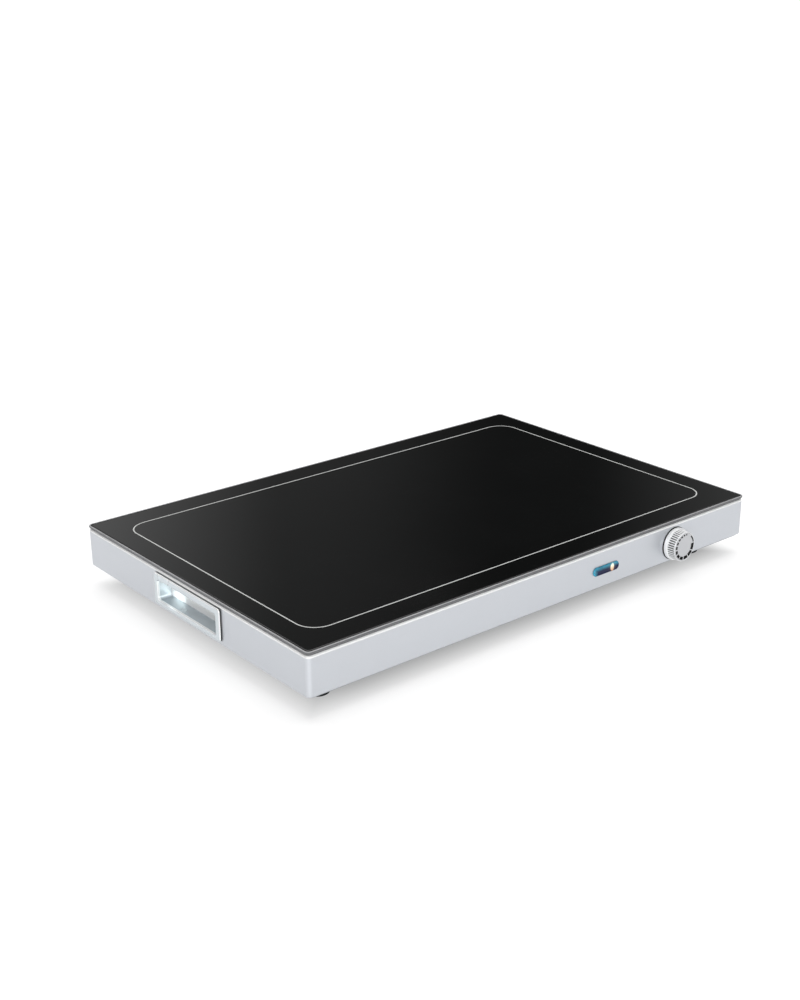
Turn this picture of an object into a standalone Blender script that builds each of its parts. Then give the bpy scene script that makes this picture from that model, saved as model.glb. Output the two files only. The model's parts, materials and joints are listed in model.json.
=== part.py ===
"""Electric food warmer tray: a glass-topped hot tray with a thermostat knob, in metres.

X runs along the long front edge, Y to the back and Z up from the table.
The trim ring's centre is the middle of the layout. One empty carries everything, and
moves it so that the origin is under the middle of the outer box.
"""
import math

import bmesh
import bpy
from mathutils import Vector

# Fits between pieces, and how far a cutter runs past the face that it opens
SEAT_GAP = 0.0003
RUNNING_GAP = 0.0003
CUT_OVERRUN = 0.003

# Overall size
TRIM_LENGTH = 0.5588
TRIM_DEPTH = 0.3683
OVERALL_HEIGHT = 0.0635
UNDERSIDE_HEIGHT = 0.0208

# Trim ring round the glass
TRIM_HEIGHT = 0.0035
TRIM_WIDTH = 0.0027
TRIM_CORNER_RADIUS = 0.0054
TRIM_EDGE_RADIUS = 0.0005
TRIM_OVERHANG = 0.0004

# Glass top and its seal
GLASS_THICKNESS = 0.004
GLASS_EDGE_RADIUS = 0.0004
SEAL_THICKNESS = 0.0014
SEAL_WIDTH = 0.008
SEAL_INSET = 0.0015
SEAL_CORNER_RADIUS = 0.001

# Drawn sheet housing
HOUSING_SHEET = 0.0008
HOUSING_CORNER_RADIUS = TRIM_CORNER_RADIUS - TRIM_OVERHANG
SHOULDER_RADIUS = 0.0014
FLANGE_BEND_RADIUS = 0.0012
LEDGE_WIDTH = 0.011
BOTTOM_FLANGE = 0.014

# Base plate
BASE_SHEET = 0.0008
BASE_INSET = 0.0025
BASE_CORNER_RADIUS = 0.005
VENT_LENGTH = 0.036
VENT_WIDTH = 0.003
VENT_PITCH = 0.008
VENTS_A_GROUP = 7
VENT_GROUP_REACH = 0.075
RIB_WIDTH = 0.008
RIB_LENGTH = 0.22
RIB_HEIGHT = 0.002
RIB_REACH = 0.06
RIB_EDGE_RADIUS = 0.0012

# Screws
SCREW_SHANK_RADIUS = 0.0015
SCREW_HEAD_RADIUS = 0.003
SCREW_HEAD_HEIGHT = 0.0018
SCREW_CROWN_HEIGHT = 0.0006
SCREW_POINT_HEIGHT = 0.0012
SCREW_RECESS_WIDTH = 0.0008
SCREW_RECESS_LENGTH = 0.0032
SCREW_RECESS_DEPTH = 0.001
BASE_SCREW_LENGTH = 0.006
BASE_SCREW_INSET = 0.008
BASE_SCREW_END_INSET = 0.029

# Feet
FOOT_INSET_X = 0.038
FOOT_INSET_Y = 0.04
FOOT_TREAD_RADIUS = 0.011
FOOT_TOP_RADIUS = 0.0125
FOOT_TREAD_BEVEL = 0.0006
FOOT_WELL_RADIUS = 0.0055
FOOT_WELL_DEPTH = 0.009
FOOT_SCREW_LENGTH = 0.0152

# Flush carrying handles in the two end walls
HANDLE_LENGTH = 0.111
HANDLE_MARGIN = 0.0036
HANDLE_RISE = 0.0006
HANDLE_PROUD = 0.0025
HANDLE_CORNER_RADIUS = 0.003
HANDLE_EDGE_RADIUS = 0.0009
POCKET_LENGTH = 0.0985
POCKET_BORDER = 0.0056
POCKET_DEPTH = 0.015
POCKET_DROP = 0.0006
POCKET_CORNER_RADIUS = 0.003
POCKET_FLOOR_RADIUS = 0.002
POCKET_WALL = 0.0012
HANDLE_BOSS_RADIUS = 0.004
HANDLE_BOSS_HEIGHT = 0.0045
HANDLE_BOSS_REACH = 0.03
HANDLE_BOSS_HOLE_DEPTH = 0.0038
CLAMP_SHEET = 0.001
CLAMP_WIDTH = 0.012
CLAMP_FOOT = 0.008
CLAMP_CLEARANCE = 0.002
HANDLE_SCREW_LENGTH = 0.0045

# Controls in the front wall
CONTROL_DROP = 0.0014
KNOB_FROM_END = 0.1074
LENS_FROM_KNOB = 0.0987

# Knob, from its open back to its cap
KNOB_STANDOFF = 0.0008
KNOB_HEIGHT = 0.0112
KNOB_RADIUS = 0.0165
KNOB_SKIRT_HEIGHT = 0.0038
KNOB_SKIRT_BEVEL = 0.0006
GRIP_BASE_RADIUS = 0.0156
GRIP_TOP_RADIUS = 0.0148
GRIP_RIBS = 48
GRIP_RIB_DEPTH = 0.0005
KNOB_HOLLOW_RADIUS = 0.0115
KNOB_HOLLOW_DEPTH = 0.004
KNOB_BORE_DEPTH = 0.0048
CAP_RADIUS = 0.0143
CAP_THICKNESS = 0.0015
CAP_EDGE_RADIUS = 0.0004
CAP_SPIGOT_RADIUS = 0.0045
CAP_SPIGOT_LENGTH = 0.0012

# Thermostat behind the knob
SHAFT_RADIUS = 0.003
SHAFT_FLAT_DEPTH = 0.001
SHAFT_ROOT = 0.008
BUSHING_RADIUS = 0.0048
BUSHING_PROUD = 0.0038
NUT_ACROSS_FLATS = 0.013
NUT_THICKNESS = 0.002
NUT_SIDES = 6
THERMOSTAT_LENGTH = 0.036
THERMOSTAT_CLEARANCE = 0.0062
THERMOSTAT_DEPTH = 0.02
THERMOSTAT_CORNER_RADIUS = 0.002
TAB_WIDTH = 0.0063
TAB_THICKNESS = 0.0008
TAB_LENGTH = 0.008
TAB_REACH = 0.008

# Sensing bulb and its capillary
CAPILLARY_RADIUS = 0.0008
BULB_RADIUS = 0.0024
BULB_LENGTH = 0.055
BULB_FROM_WALL = 0.0315
BULB_SHIFT = 0.055
CLIP_SHEET = 0.0006
CLIP_WIDTH = 0.008
CLIP_FOOT = 0.005
CLIP_TURNS = 6

# Indicator window
LENS_LENGTH = 0.035
LENS_HEIGHT = 0.0095
LENS_PROUD = 0.0015
LENS_EDGE_RADIUS = 0.0008
LENS_LIP = 0.0009
LENS_PLUG_DEPTH = 0.006
LENS_WALL = 0.001
LAMP_RADIUS = 0.0024
LAMP_LENGTH = 0.012
LAMP_SHIFT = 0.0086
HOLDER_LENGTH = 0.038
HOLDER_HEIGHT = 0.012
HOLDER_DEPTH = 0.009
HOLDER_FLOOR = 0.002

# Heater, from the glass down
SPREADER_THICKNESS = 0.0016
SPREADER_MARGIN = 0.004
SPREADER_CORNER_RADIUS = 0.006
HEATER_WIRE_RADIUS = 0.0012
HEATER_RUNS = 10
HEATER_SIDE_MARGIN = 0.0215
HEATER_END_MARGIN = 0.0125
HEATER_TAIL = 0.016
HEATER_BEND_STEPS = 6
FOIL_THICKNESS = 0.0003
MAT_THICKNESS = 0.0078
MAT_GAP = 0.0005
SHIELD_FROM_END_WALL = 0.0265
SHIELD_FROM_LONG_WALL = 0.04075
SHIELD_SHEET = 0.0006
SHIELD_RIM = 0.0085
SHIELD_CORNER_RADIUS = 0.004
RAIL_SHEET = 0.001
RAIL_TOP_WIDTH = 0.024
RAIL_FOOT_WIDTH = 0.012
RAIL_END_MARGIN = 0.018
RAIL_FROM_END_WALL = 0.129

# Power inlet in the rear wall
INLET_FROM_END = 0.0794
INLET_FLANGE_LENGTH = 0.05
INLET_FLANGE_HEIGHT = 0.027
INLET_FLANGE_PROUD = 0.0025
INLET_FLANGE_RADIUS = 0.003
INLET_EDGE_RADIUS = 0.0006
INLET_BODY_LENGTH = 0.028
INLET_BODY_HEIGHT = 0.022
INLET_BODY_DEPTH = 0.02
INLET_SOCKET_LENGTH = 0.0245
INLET_SOCKET_HEIGHT = 0.0165
INLET_SOCKET_DEPTH = 0.0165
INLET_SOCKET_RADIUS = 0.003
INLET_SCREW_REACH = 0.02
INLET_SCREW_LENGTH = 0.006
PIN_WIDTH = 0.002
PIN_HEIGHT = 0.004
PIN_PITCH = 0.007
PIN_EARTH_RISE = 0.004
PIN_REACH = 0.014
PIN_TAIL = 0.007

# Wiring
LEAD_RADIUS = 0.0014
LEAD_LANE_GAP = 0.0185
LAMP_LEAD_RADIUS = 0.0009
FUSE_RADIUS = 0.002
FUSE_LENGTH = 0.011
FUSE_WIRE_RADIUS = 0.0005
BLOCK_LENGTH = 0.03
BLOCK_WIDTH = 0.014
BLOCK_HEIGHT = 0.012
BLOCK_RADIUS = 0.0015
BLOCK_FROM_WALL = 0.06
EARTH_SCREW_LENGTH = 0.004
EARTH_SCREW_SHIFT = 0.03
EARTH_SCREW_FROM_WALL = 0.045

# Facets, and the angle and distance that part one face or point from the next
CORNER_STEPS = 4
EDGE_STEPS = 2
ROUND_STEPS = 32
MEDIUM_ROUND_STEPS = 20
SMALL_ROUND_STEPS = 10
SCREW_STEPS = 8
FOOT_STEPS = 20
SHARP_ANGLE = math.radians(30)
FLAT_ANGLE = math.radians(1)
MERGE_DISTANCE = 0.00001

# Levels up the tray, worked out from the sizes above
TRIM_BOTTOM = OVERALL_HEIGHT - TRIM_HEIGHT
HOUSING_TOP = TRIM_BOTTOM - SEAT_GAP
GLASS_BOTTOM = OVERALL_HEIGHT - GLASS_THICKNESS
SEAL_TOP = GLASS_BOTTOM - SEAT_GAP
SEAL_BOTTOM = SEAL_TOP - SEAL_THICKNESS
LEDGE_TOP = SEAL_BOTTOM - SEAT_GAP
SPREADER_TOP = GLASS_BOTTOM - SEAT_GAP
SPREADER_BOTTOM = SPREADER_TOP - SPREADER_THICKNESS
WIRE_CENTRE = SPREADER_BOTTOM - SEAT_GAP - HEATER_WIRE_RADIUS
FOIL_TOP = WIRE_CENTRE - HEATER_WIRE_RADIUS - SEAT_GAP
MAT_TOP = FOIL_TOP - FOIL_THICKNESS - SEAT_GAP
MAT_BOTTOM = MAT_TOP - MAT_THICKNESS
SHIELD_BOTTOM = MAT_BOTTOM - SEAT_GAP - SHIELD_SHEET
BASE_TOP = UNDERSIDE_HEIGHT - SEAT_GAP
BASE_BOTTOM = BASE_TOP - BASE_SHEET
FLOOR_OF_TRAY = BASE_TOP + SEAT_GAP
WALL_HEIGHT = TRIM_BOTTOM - UNDERSIDE_HEIGHT
WALL_MIDDLE = UNDERSIDE_HEIGHT + WALL_HEIGHT / 2
CONTROL_HEIGHT = WALL_MIDDLE - CONTROL_DROP
HANDLE_LEVEL = WALL_MIDDLE + HANDLE_RISE
POCKET_LEVEL = HANDLE_LEVEL - POCKET_DROP
HANDLE_HEIGHT = WALL_HEIGHT - 2 * HANDLE_MARGIN
POCKET_HEIGHT = HANDLE_HEIGHT - 2 * POCKET_BORDER
THERMOSTAT_HEIGHT = 2 * (CONTROL_HEIGHT - FLOOR_OF_TRAY - THERMOSTAT_CLEARANCE)

# Distances from the middle of the tray
HOUSING_LENGTH = TRIM_LENGTH - 2 * TRIM_OVERHANG
HOUSING_DEPTH = TRIM_DEPTH - 2 * TRIM_OVERHANG
END_WALL = HOUSING_LENGTH / 2
LONG_WALL = HOUSING_DEPTH / 2
INNER_LONG_WALL = LONG_WALL - HOUSING_SHEET
SHOULDER_WIDTH = TRIM_WIDTH - TRIM_OVERHANG
KNOB_X = TRIM_LENGTH / 2 - KNOB_FROM_END
LENS_X = KNOB_X - LENS_FROM_KNOB
INLET_X = TRIM_LENGTH / 2 - INLET_FROM_END
GLASS_LENGTH = TRIM_LENGTH - 2 * (TRIM_WIDTH + SEAT_GAP)
GLASS_DEPTH = TRIM_DEPTH - 2 * (TRIM_WIDTH + SEAT_GAP)
SCREW_HOLE_RADIUS = SCREW_SHANK_RADIUS + SEAT_GAP
KNOB_FACE = KNOB_STANDOFF + KNOB_HEIGHT + SEAT_GAP + CAP_THICKNESS
THERMOSTAT_BACK = INNER_LONG_WALL - SEAT_GAP - THERMOSTAT_DEPTH
BASE_SCREW_END_REACH = END_WALL - BASE_SCREW_END_INSET
SHIELD_LENGTH = HOUSING_LENGTH - 2 * SHIELD_FROM_END_WALL
SHIELD_WIDTH = HOUSING_DEPTH - 2 * SHIELD_FROM_LONG_WALL
HEATER_SPAN = SHIELD_WIDTH / 2 - HEATER_SIDE_MARGIN
HEATER_RUN_PITCH = 2 * HEATER_SPAN / (HEATER_RUNS - 1)
HEATER_REACH = SHIELD_LENGTH / 2 - HEATER_END_MARGIN
WIRE_END = HEATER_REACH + HEATER_TAIL
RAIL_REACH = END_WALL - RAIL_FROM_END_WALL
RAIL_LENGTH = SHIELD_WIDTH - 2 * RAIL_END_MARGIN

# The knob stands out further in front than the inlet's screws behind, so the two middles differ
FRONT_REACH = LONG_WALL + KNOB_FACE
REAR_REACH = LONG_WALL + INLET_FLANGE_PROUD + SEAT_GAP + SCREW_HEAD_HEIGHT
ORIGIN_SHIFT = (FRONT_REACH - REAR_REACH) / 2

# Turns that point a piece's own Z out of a wall, with its own Y upright
OUT_OF_FRONT = (math.pi / 2, 0, 0)
OUT_OF_REAR = (math.pi / 2, 0, math.pi)
OUT_OF_RIGHT = (math.pi / 2, 0, math.pi / 2)
OUT_OF_LEFT = (math.pi / 2, 0, -math.pi / 2)
UPSIDE_DOWN = (math.pi, 0, 0)


def clear_scene():
    """Remove what the scene holds."""
    for obj in list(bpy.data.objects):
        bpy.data.objects.remove(obj, do_unlink=True)


def new_collection(name):
    """A collection under the scene's own."""
    collection = bpy.data.collections.new(name)
    bpy.context.scene.collection.children.link(collection)
    return collection


def new_material(name, colour, roughness, metallic, alpha=1.0):
    """A Principled material."""
    material = bpy.data.materials.new(name)
    material.use_nodes = True
    shader = material.node_tree.nodes["Principled BSDF"]
    shader.inputs["Base Color"].default_value = (*colour, 1.0)
    shader.inputs["Roughness"].default_value = roughness
    shader.inputs["Metallic"].default_value = metallic
    shader.inputs["Alpha"].default_value = alpha
    return material


clear_scene()
PARTS = new_collection("food_warmer_tray")
CUTTERS = new_collection("cutters")

SATIN_STEEL = new_material("satin_steel", (0.61, 0.62, 0.66), 0.32, 0.6)
TRIM_METAL = new_material("trim_metal", (0.2, 0.2, 0.21), 0.35, 0.9)
POLISHED_METAL = new_material("polished_metal", (0.72, 0.75, 0.77), 0.2, 1.0)
BLACK_GLASS = new_material("black_glass", (0.012, 0.012, 0.013), 0.08, 0.0)
BLACK_RUBBER = new_material("black_rubber", (0.02, 0.02, 0.02), 0.8, 0.0)
BLACK_PLASTIC = new_material("black_plastic", (0.025, 0.025, 0.027), 0.45, 0.0)
SILVER_PLASTIC = new_material("silver_plastic", (0.6, 0.61, 0.63), 0.35, 0.2)
BLUE_LENS = new_material("blue_lens", (0.02, 0.09, 0.14), 0.1, 0.0)
AMBER_LAMP = new_material("amber_lamp", (0.9, 0.42, 0.08), 0.3, 0.0)
ALUMINIUM = new_material("aluminium", (0.7, 0.7, 0.7), 0.3, 1.0)
ZINC_STEEL = new_material("zinc_steel", (0.5, 0.51, 0.52), 0.4, 1.0)
CERAMIC_WOOL = new_material("ceramic_wool", (0.82, 0.8, 0.74), 0.95, 0.0)
HEATER_SLEEVE = new_material("heater_sleeve", (0.5, 0.18, 0.1), 0.6, 0.0)
COPPER = new_material("copper", (0.72, 0.36, 0.2), 0.3, 1.0)
BRASS = new_material("brass", (0.7, 0.52, 0.22), 0.3, 1.0)
LEAD_SLEEVE = new_material("lead_sleeve", (0.75, 0.74, 0.7), 0.6, 0.0)
EARTH_SLEEVE = new_material("earth_sleeve", (0.1, 0.4, 0.12), 0.6, 0.0)

CARRIER = bpy.data.objects.new("tray_centre", None)
PARTS.objects.link(CARRIER)
CARRIER.location = (0, ORIGIN_SHIFT, 0)


def place(obj, at, turn, parent):
    """Put an object on the tray, at a place and turn of its parent's."""
    obj.parent = parent or CARRIER
    obj.location = at
    obj.rotation_euler = turn


def piece(name, data, material, at=(0, 0, 0), turn=(0, 0, 0), parent=None):
    """One sub-part, from a mesh or a curve."""
    obj = bpy.data.objects.new(name, data)
    PARTS.objects.link(obj)
    place(obj, at, turn, parent)
    if not data.materials:
        data.materials.append(material)
    return obj


def cutter(name, mesh, at=(0, 0, 0), turn=(0, 0, 0), parent=None):
    """A shape that only cuts or joins, kept out of the render."""
    obj = bpy.data.objects.new(name, mesh)
    CUTTERS.objects.link(obj)
    place(obj, at, turn, parent)
    obj.hide_render = True
    obj.display_type = "WIRE"
    return obj


def combine(obj, tool, operation="DIFFERENCE"):
    """Cut an object with a cutter, or join the cutter's shape to it."""
    modifier = obj.modifiers.new(tool.name, "BOOLEAN")
    modifier.object = tool
    modifier.operation = operation
    modifier.solver = "EXACT"


def add_slab(bm, length, width, bottom, top, radius=0, centre=(0, 0), steps=CORNER_STEPS):
    """Add an upright block, its upright edges rounded."""
    verts = bmesh.ops.create_cube(bm, size=1)["verts"]
    bmesh.ops.scale(bm, verts=verts, vec=(length, width, top - bottom))
    bmesh.ops.translate(bm, verts=verts, vec=(*centre, (top + bottom) / 2))
    if radius:
        upright = [
            edge for edge in bm.edges
            if edge.verts[0] in verts and edge.verts[1] in verts
            and edge.verts[0].co.z * edge.verts[1].co.z != edge.verts[0].co.z ** 2
        ]
        bmesh.ops.bevel(bm, geom=upright, offset=radius, segments=steps, profile=0.5, affect="EDGES")


def add_round(bm, radius, bottom, top, centre=(0, 0), steps=ROUND_STEPS, top_radius=None):
    """Add an upright cylinder or cone."""
    made = bmesh.ops.create_cone(
        bm, cap_ends=True, segments=steps, radius1=radius,
        radius2=radius if top_radius is None else top_radius, depth=top - bottom,
    )
    bmesh.ops.translate(bm, verts=made["verts"], vec=(*centre, (top + bottom) / 2))


def round_rim(bm, level, radius, steps=EDGE_STEPS):
    """Round the edges that lie at one level."""
    near = radius / ROUND_STEPS
    rim = [edge for edge in bm.edges if all(abs(vert.co.z - level) < near for vert in edge.verts)]
    bmesh.ops.bevel(bm, geom=rim, offset=radius, segments=steps, profile=0.5, affect="EDGES")


def as_mesh(name, bm, smooth=False):
    """Close a bmesh and give it back as a mesh."""
    mesh = bpy.data.meshes.new(name)
    bm.to_mesh(mesh)
    bm.free()
    if smooth:
        mesh.shade_smooth()
        mesh.set_sharp_from_angle(angle=SHARP_ANGLE)
    return mesh


def slab(name, length, width, bottom, top, radius=0, rim=0):
    """A block's mesh, with its top rim rounded where one is asked for."""
    bm = bmesh.new()
    add_slab(bm, length, width, bottom, top, radius)
    if rim:
        round_rim(bm, top, rim)
    return as_mesh(name, bm)


def rod(name, radius, bottom, top, steps=ROUND_STEPS):
    """A cylinder's mesh."""
    bm = bmesh.new()
    add_round(bm, radius, bottom, top, steps=steps)
    return as_mesh(name, bm, smooth=True)


def turned(name, profile, material, steps=ROUND_STEPS, ring=False, **where):
    """A turned piece: a profile of (radius, height) spun round Z, its outer side running down."""
    mesh = bpy.data.meshes.new(name)
    points = [(radius, 0, height) for radius, height in profile]
    edges = [(i, i + 1) for i in range(len(points) - 1)]
    if ring:
        edges.append((len(points) - 1, 0))
    mesh.from_pydata(points, edges, [])
    obj = piece(name, mesh, material, **where)
    spin = obj.modifiers.new("spin", "SCREW")
    spin.steps = spin.render_steps = steps
    spin.use_merge_vertices = True
    spin.merge_threshold = MERGE_DISTANCE
    spin.use_smooth_shade = True
    return obj


def baked(obj):
    """The mesh that an object's modifiers give, in its own place."""
    bpy.context.view_layer.update()
    held = obj.evaluated_get(bpy.context.evaluated_depsgraph_get())
    return bpy.data.meshes.new_from_object(held)


def strip(name, points, width, sheet, material, **where):
    """A bent strip: a line in its own XZ plane, drawn out along Y and thickened below the line."""
    bm = bmesh.new()
    verts = [bm.verts.new((x, -width / 2, z)) for x, z in points]
    edges = [bm.edges.new(pair) for pair in zip(verts, verts[1:])]
    made = bmesh.ops.extrude_edge_only(bm, edges=edges)["geom"]
    far = [item for item in made if isinstance(item, bmesh.types.BMVert)]
    bmesh.ops.translate(bm, verts=far, vec=(0, width, 0))
    bmesh.ops.recalc_face_normals(bm, faces=bm.faces)
    if sum(face.normal.z * face.calc_area() for face in bm.faces) < 0:
        bmesh.ops.reverse_faces(bm, faces=bm.faces)
    obj = piece(name, as_mesh(name, bm), material, **where)
    solid = obj.modifiers.new("sheet", "SOLIDIFY")
    solid.thickness = sheet
    solid.offset = -1
    solid.use_even_offset = True
    return obj


def smooth_route(points, steps):
    """Points along a smooth curve through a route's own points, its first and last spans straight."""
    ends = [Vector(point) for point in (points[0], *points, points[-1])]
    route = []
    for span, (before, start, end, after) in enumerate(zip(ends, ends[1:], ends[2:], ends[3:])):
        count = steps if 0 < span < len(points) - 2 else 1
        for step in range(count):
            t = step / count
            route.append(
                start * (1 + t * t * (3 * t - 5) / 2) + end * t * (1 + t * (4 - 3 * t)) / 2
                + before * t * (t * (2 - t) - 1) / 2 + after * t * t * (t - 1) / 2
            )
    route.append(ends[-1])
    return route


def tube(name, points, radius, material, steps=3, radii=None, resolution=1, smooth=True):
    """A wire or tube along a route, with flat ends."""
    route = smooth_route(points, steps) if smooth else [Vector(point) for point in points]
    curve = bpy.data.curves.new(name, "CURVE")
    curve.dimensions = "3D"
    curve.bevel_depth = radius
    curve.bevel_resolution = resolution
    curve.use_fill_caps = True
    curve.render_resolution_u = 0
    spline = curve.splines.new("POLY")
    spline.points.add(len(route) - 1)
    for index, (point, at) in enumerate(zip(spline.points, route)):
        point.co = (*at, 1)
        point.radius = radii[index] / radius if radii else 1
    return piece(name, curve, material)


def pan_head_screw(length):
    """The mesh of a cross-head screw: its head above the XY plane and its shank below."""
    profile = [
        (0, SCREW_HEAD_HEIGHT),
        (SCREW_HEAD_RADIUS - SCREW_CROWN_HEIGHT, SCREW_HEAD_HEIGHT),
        (SCREW_HEAD_RADIUS, SCREW_HEAD_HEIGHT - SCREW_CROWN_HEIGHT),
        (SCREW_HEAD_RADIUS, 0),
        (SCREW_SHANK_RADIUS, 0),
        (SCREW_SHANK_RADIUS, SCREW_POINT_HEIGHT - length),
        (SCREW_SHANK_RADIUS / 2, -length),
        (0, -length),
    ]
    blank = turned("screw_blank", profile, ZINC_STEEL, steps=SCREW_STEPS)
    bm = bmesh.new()
    floor = SCREW_HEAD_HEIGHT - SCREW_RECESS_DEPTH
    ceiling = SCREW_HEAD_HEIGHT + CUT_OVERRUN
    add_slab(bm, SCREW_RECESS_LENGTH, SCREW_RECESS_WIDTH, floor, ceiling)
    slot = cutter("screw_slot", as_mesh("screw_slot", bm))
    cross = bmesh.new()
    add_slab(cross, SCREW_RECESS_WIDTH, SCREW_RECESS_LENGTH, floor, ceiling)
    other = cutter("screw_cross", as_mesh("screw_cross", cross))
    combine(blank, slot)
    combine(blank, other)
    mesh = baked(blank)
    mesh.name = "pan_head_screw"
    for obj in (blank, slot, other):
        bpy.data.objects.remove(obj, do_unlink=True)
    return mesh


def make_glass():
    """The glass top, the trim ring round it and the seal that it lies on."""
    corner = TRIM_CORNER_RADIUS - TRIM_WIDTH
    glass = bmesh.new()
    add_slab(glass, GLASS_LENGTH, GLASS_DEPTH, GLASS_BOTTOM, OVERALL_HEIGHT, max(corner - SEAT_GAP, SEAT_GAP))
    round_rim(glass, OVERALL_HEIGHT, GLASS_EDGE_RADIUS)
    piece("glass_top", as_mesh("glass_top", glass), BLACK_GLASS)

    ring = slab(
        "trim_frame", TRIM_LENGTH, TRIM_DEPTH, TRIM_BOTTOM, OVERALL_HEIGHT,
        TRIM_CORNER_RADIUS, TRIM_EDGE_RADIUS,
    )
    trim = piece("trim_frame", ring, TRIM_METAL)
    inside = slab(
        "trim_inside", TRIM_LENGTH - 2 * TRIM_WIDTH, TRIM_DEPTH - 2 * TRIM_WIDTH,
        TRIM_BOTTOM - CUT_OVERRUN, OVERALL_HEIGHT + CUT_OVERRUN, corner,
    )
    combine(trim, cutter("trim_inside", inside))

    outer = (GLASS_LENGTH - 2 * SEAL_INSET, GLASS_DEPTH - 2 * SEAL_INSET)
    gasket = slab("glass_seal", *outer, SEAL_BOTTOM, SEAL_TOP, SEAL_CORNER_RADIUS)
    seal = piece("glass_seal", gasket, BLACK_RUBBER)
    hole = slab(
        "seal_inside", outer[0] - 2 * SEAL_WIDTH, outer[1] - 2 * SEAL_WIDTH,
        SEAL_BOTTOM - CUT_OVERRUN, SEAL_TOP + CUT_OVERRUN, SEAL_CORNER_RADIUS,
    )
    combine(seal, cutter("seal_inside", hole))


def make_housing():
    """The drawn housing: four walls, a shoulder for the trim, a sunk ledge and a bottom flange."""
    bm = bmesh.new()
    add_slab(bm, HOUSING_LENGTH, HOUSING_DEPTH, UNDERSIDE_HEIGHT, HOUSING_TOP, HOUSING_CORNER_RADIUS)
    round_rim(bm, UNDERSIDE_HEIGHT, FLANGE_BEND_RADIUS)
    lid = max(bm.faces, key=lambda face: face.calc_center_median().z)
    bmesh.ops.inset_region(bm, faces=[lid], thickness=SHOULDER_WIDTH, use_even_offset=True)
    sunk = bmesh.ops.extrude_face_region(bm, geom=[lid])["geom"]
    bmesh.ops.delete(bm, geom=[lid], context="FACES_ONLY")
    sunk_verts = [item for item in sunk if isinstance(item, bmesh.types.BMVert)]
    bmesh.ops.translate(bm, verts=sunk_verts, vec=(0, 0, LEDGE_TOP - HOUSING_TOP))
    rim = [
        edge for edge in bm.edges
        if all(abs(vert.co.z - HOUSING_TOP) < SEAT_GAP for vert in edge.verts)
        and any(abs(face.normal.z) < 0.5 and face.calc_center_median().z < WALL_MIDDLE + SEAT_GAP
                for face in edge.link_faces)
    ]
    bmesh.ops.bevel(
        bm, geom=rim, offset=SHOULDER_RADIUS, segments=EDGE_STEPS + 1, profile=0.5, affect="EDGES",
    )
    housing = piece("housing", as_mesh("housing", bm), SATIN_STEEL)
    sheet = housing.modifiers.new("sheet", "SOLIDIFY")
    sheet.thickness = HOUSING_SHEET
    sheet.offset = -1
    sheet.use_even_offset = True

    inner = 2 * (SHOULDER_WIDTH + LEDGE_WIDTH)
    mouth = slab(
        "housing_mouth", HOUSING_LENGTH - inner, HOUSING_DEPTH - inner,
        WALL_MIDDLE, HOUSING_TOP + CUT_OVERRUN,
    )
    combine(housing, cutter("housing_mouth", mouth))
    under = slab(
        "housing_under", HOUSING_LENGTH - 2 * BOTTOM_FLANGE, HOUSING_DEPTH - 2 * BOTTOM_FLANGE,
        UNDERSIDE_HEIGHT - CUT_OVERRUN, WALL_MIDDLE, HOUSING_CORNER_RADIUS,
    )
    combine(housing, cutter("housing_under", under))
    return housing


def cut_wall_openings(housing):
    """Openings in the walls for the handles, knob, lens and inlet, and the flange's screw holes."""
    bm = bmesh.new()
    clear = POCKET_WALL + SEAT_GAP
    add_slab(
        bm, POCKET_LENGTH + 2 * clear, POCKET_HEIGHT + 2 * clear, -CUT_OVERRUN, CUT_OVERRUN,
        POCKET_CORNER_RADIUS + clear,
    )
    opening = as_mesh("handle_opening", bm)
    combine(housing, cutter("left_opening", opening, (-END_WALL, 0, POCKET_LEVEL), OUT_OF_LEFT))
    combine(housing, cutter("right_opening", opening, (END_WALL, 0, POCKET_LEVEL), OUT_OF_RIGHT))

    hole = rod("bushing_hole", BUSHING_RADIUS + SEAT_GAP, -CUT_OVERRUN, CUT_OVERRUN)
    combine(housing, cutter("bushing_hole", hole, (KNOB_X, -LONG_WALL, CONTROL_HEIGHT), OUT_OF_FRONT))

    slot = slab(
        "lens_slot", LENS_LENGTH - 2 * LENS_LIP, LENS_HEIGHT - 2 * LENS_LIP, -CUT_OVERRUN, CUT_OVERRUN,
        LENS_HEIGHT / 2 - LENS_LIP - SEAT_GAP,
    )
    combine(housing, cutter("lens_slot", slot, (LENS_X, -LONG_WALL, CONTROL_HEIGHT), OUT_OF_FRONT))

    bm = bmesh.new()
    add_slab(
        bm, INLET_BODY_LENGTH + 2 * SEAT_GAP, INLET_BODY_HEIGHT + 2 * SEAT_GAP, -CUT_OVERRUN, CUT_OVERRUN,
        INLET_SOCKET_RADIUS,
    )
    for side in (-1, 1):
        at = (side * INLET_SCREW_REACH, 0)
        add_round(bm, SCREW_HOLE_RADIUS, -CUT_OVERRUN, CUT_OVERRUN, at, SMALL_ROUND_STEPS)
    opening = as_mesh("inlet_opening", bm)
    combine(housing, cutter("inlet_opening", opening, (INLET_X, LONG_WALL, WALL_MIDDLE), OUT_OF_REAR))

    bm = bmesh.new()
    for at in base_screw_places():
        add_round(bm, SCREW_HOLE_RADIUS, UNDERSIDE_HEIGHT - CUT_OVERRUN, WALL_MIDDLE, at, SMALL_ROUND_STEPS)
    combine(housing, cutter("flange_holes", as_mesh("flange_holes", bm)))


def base_screw_places():
    """Where the base plate is screwed to the flange: three screws along each long wall."""
    return [
        (x, side * (LONG_WALL - BASE_SCREW_INSET))
        for side in (-1, 1)
        for x in (-BASE_SCREW_END_REACH, 0, BASE_SCREW_END_REACH)
    ]


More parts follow.
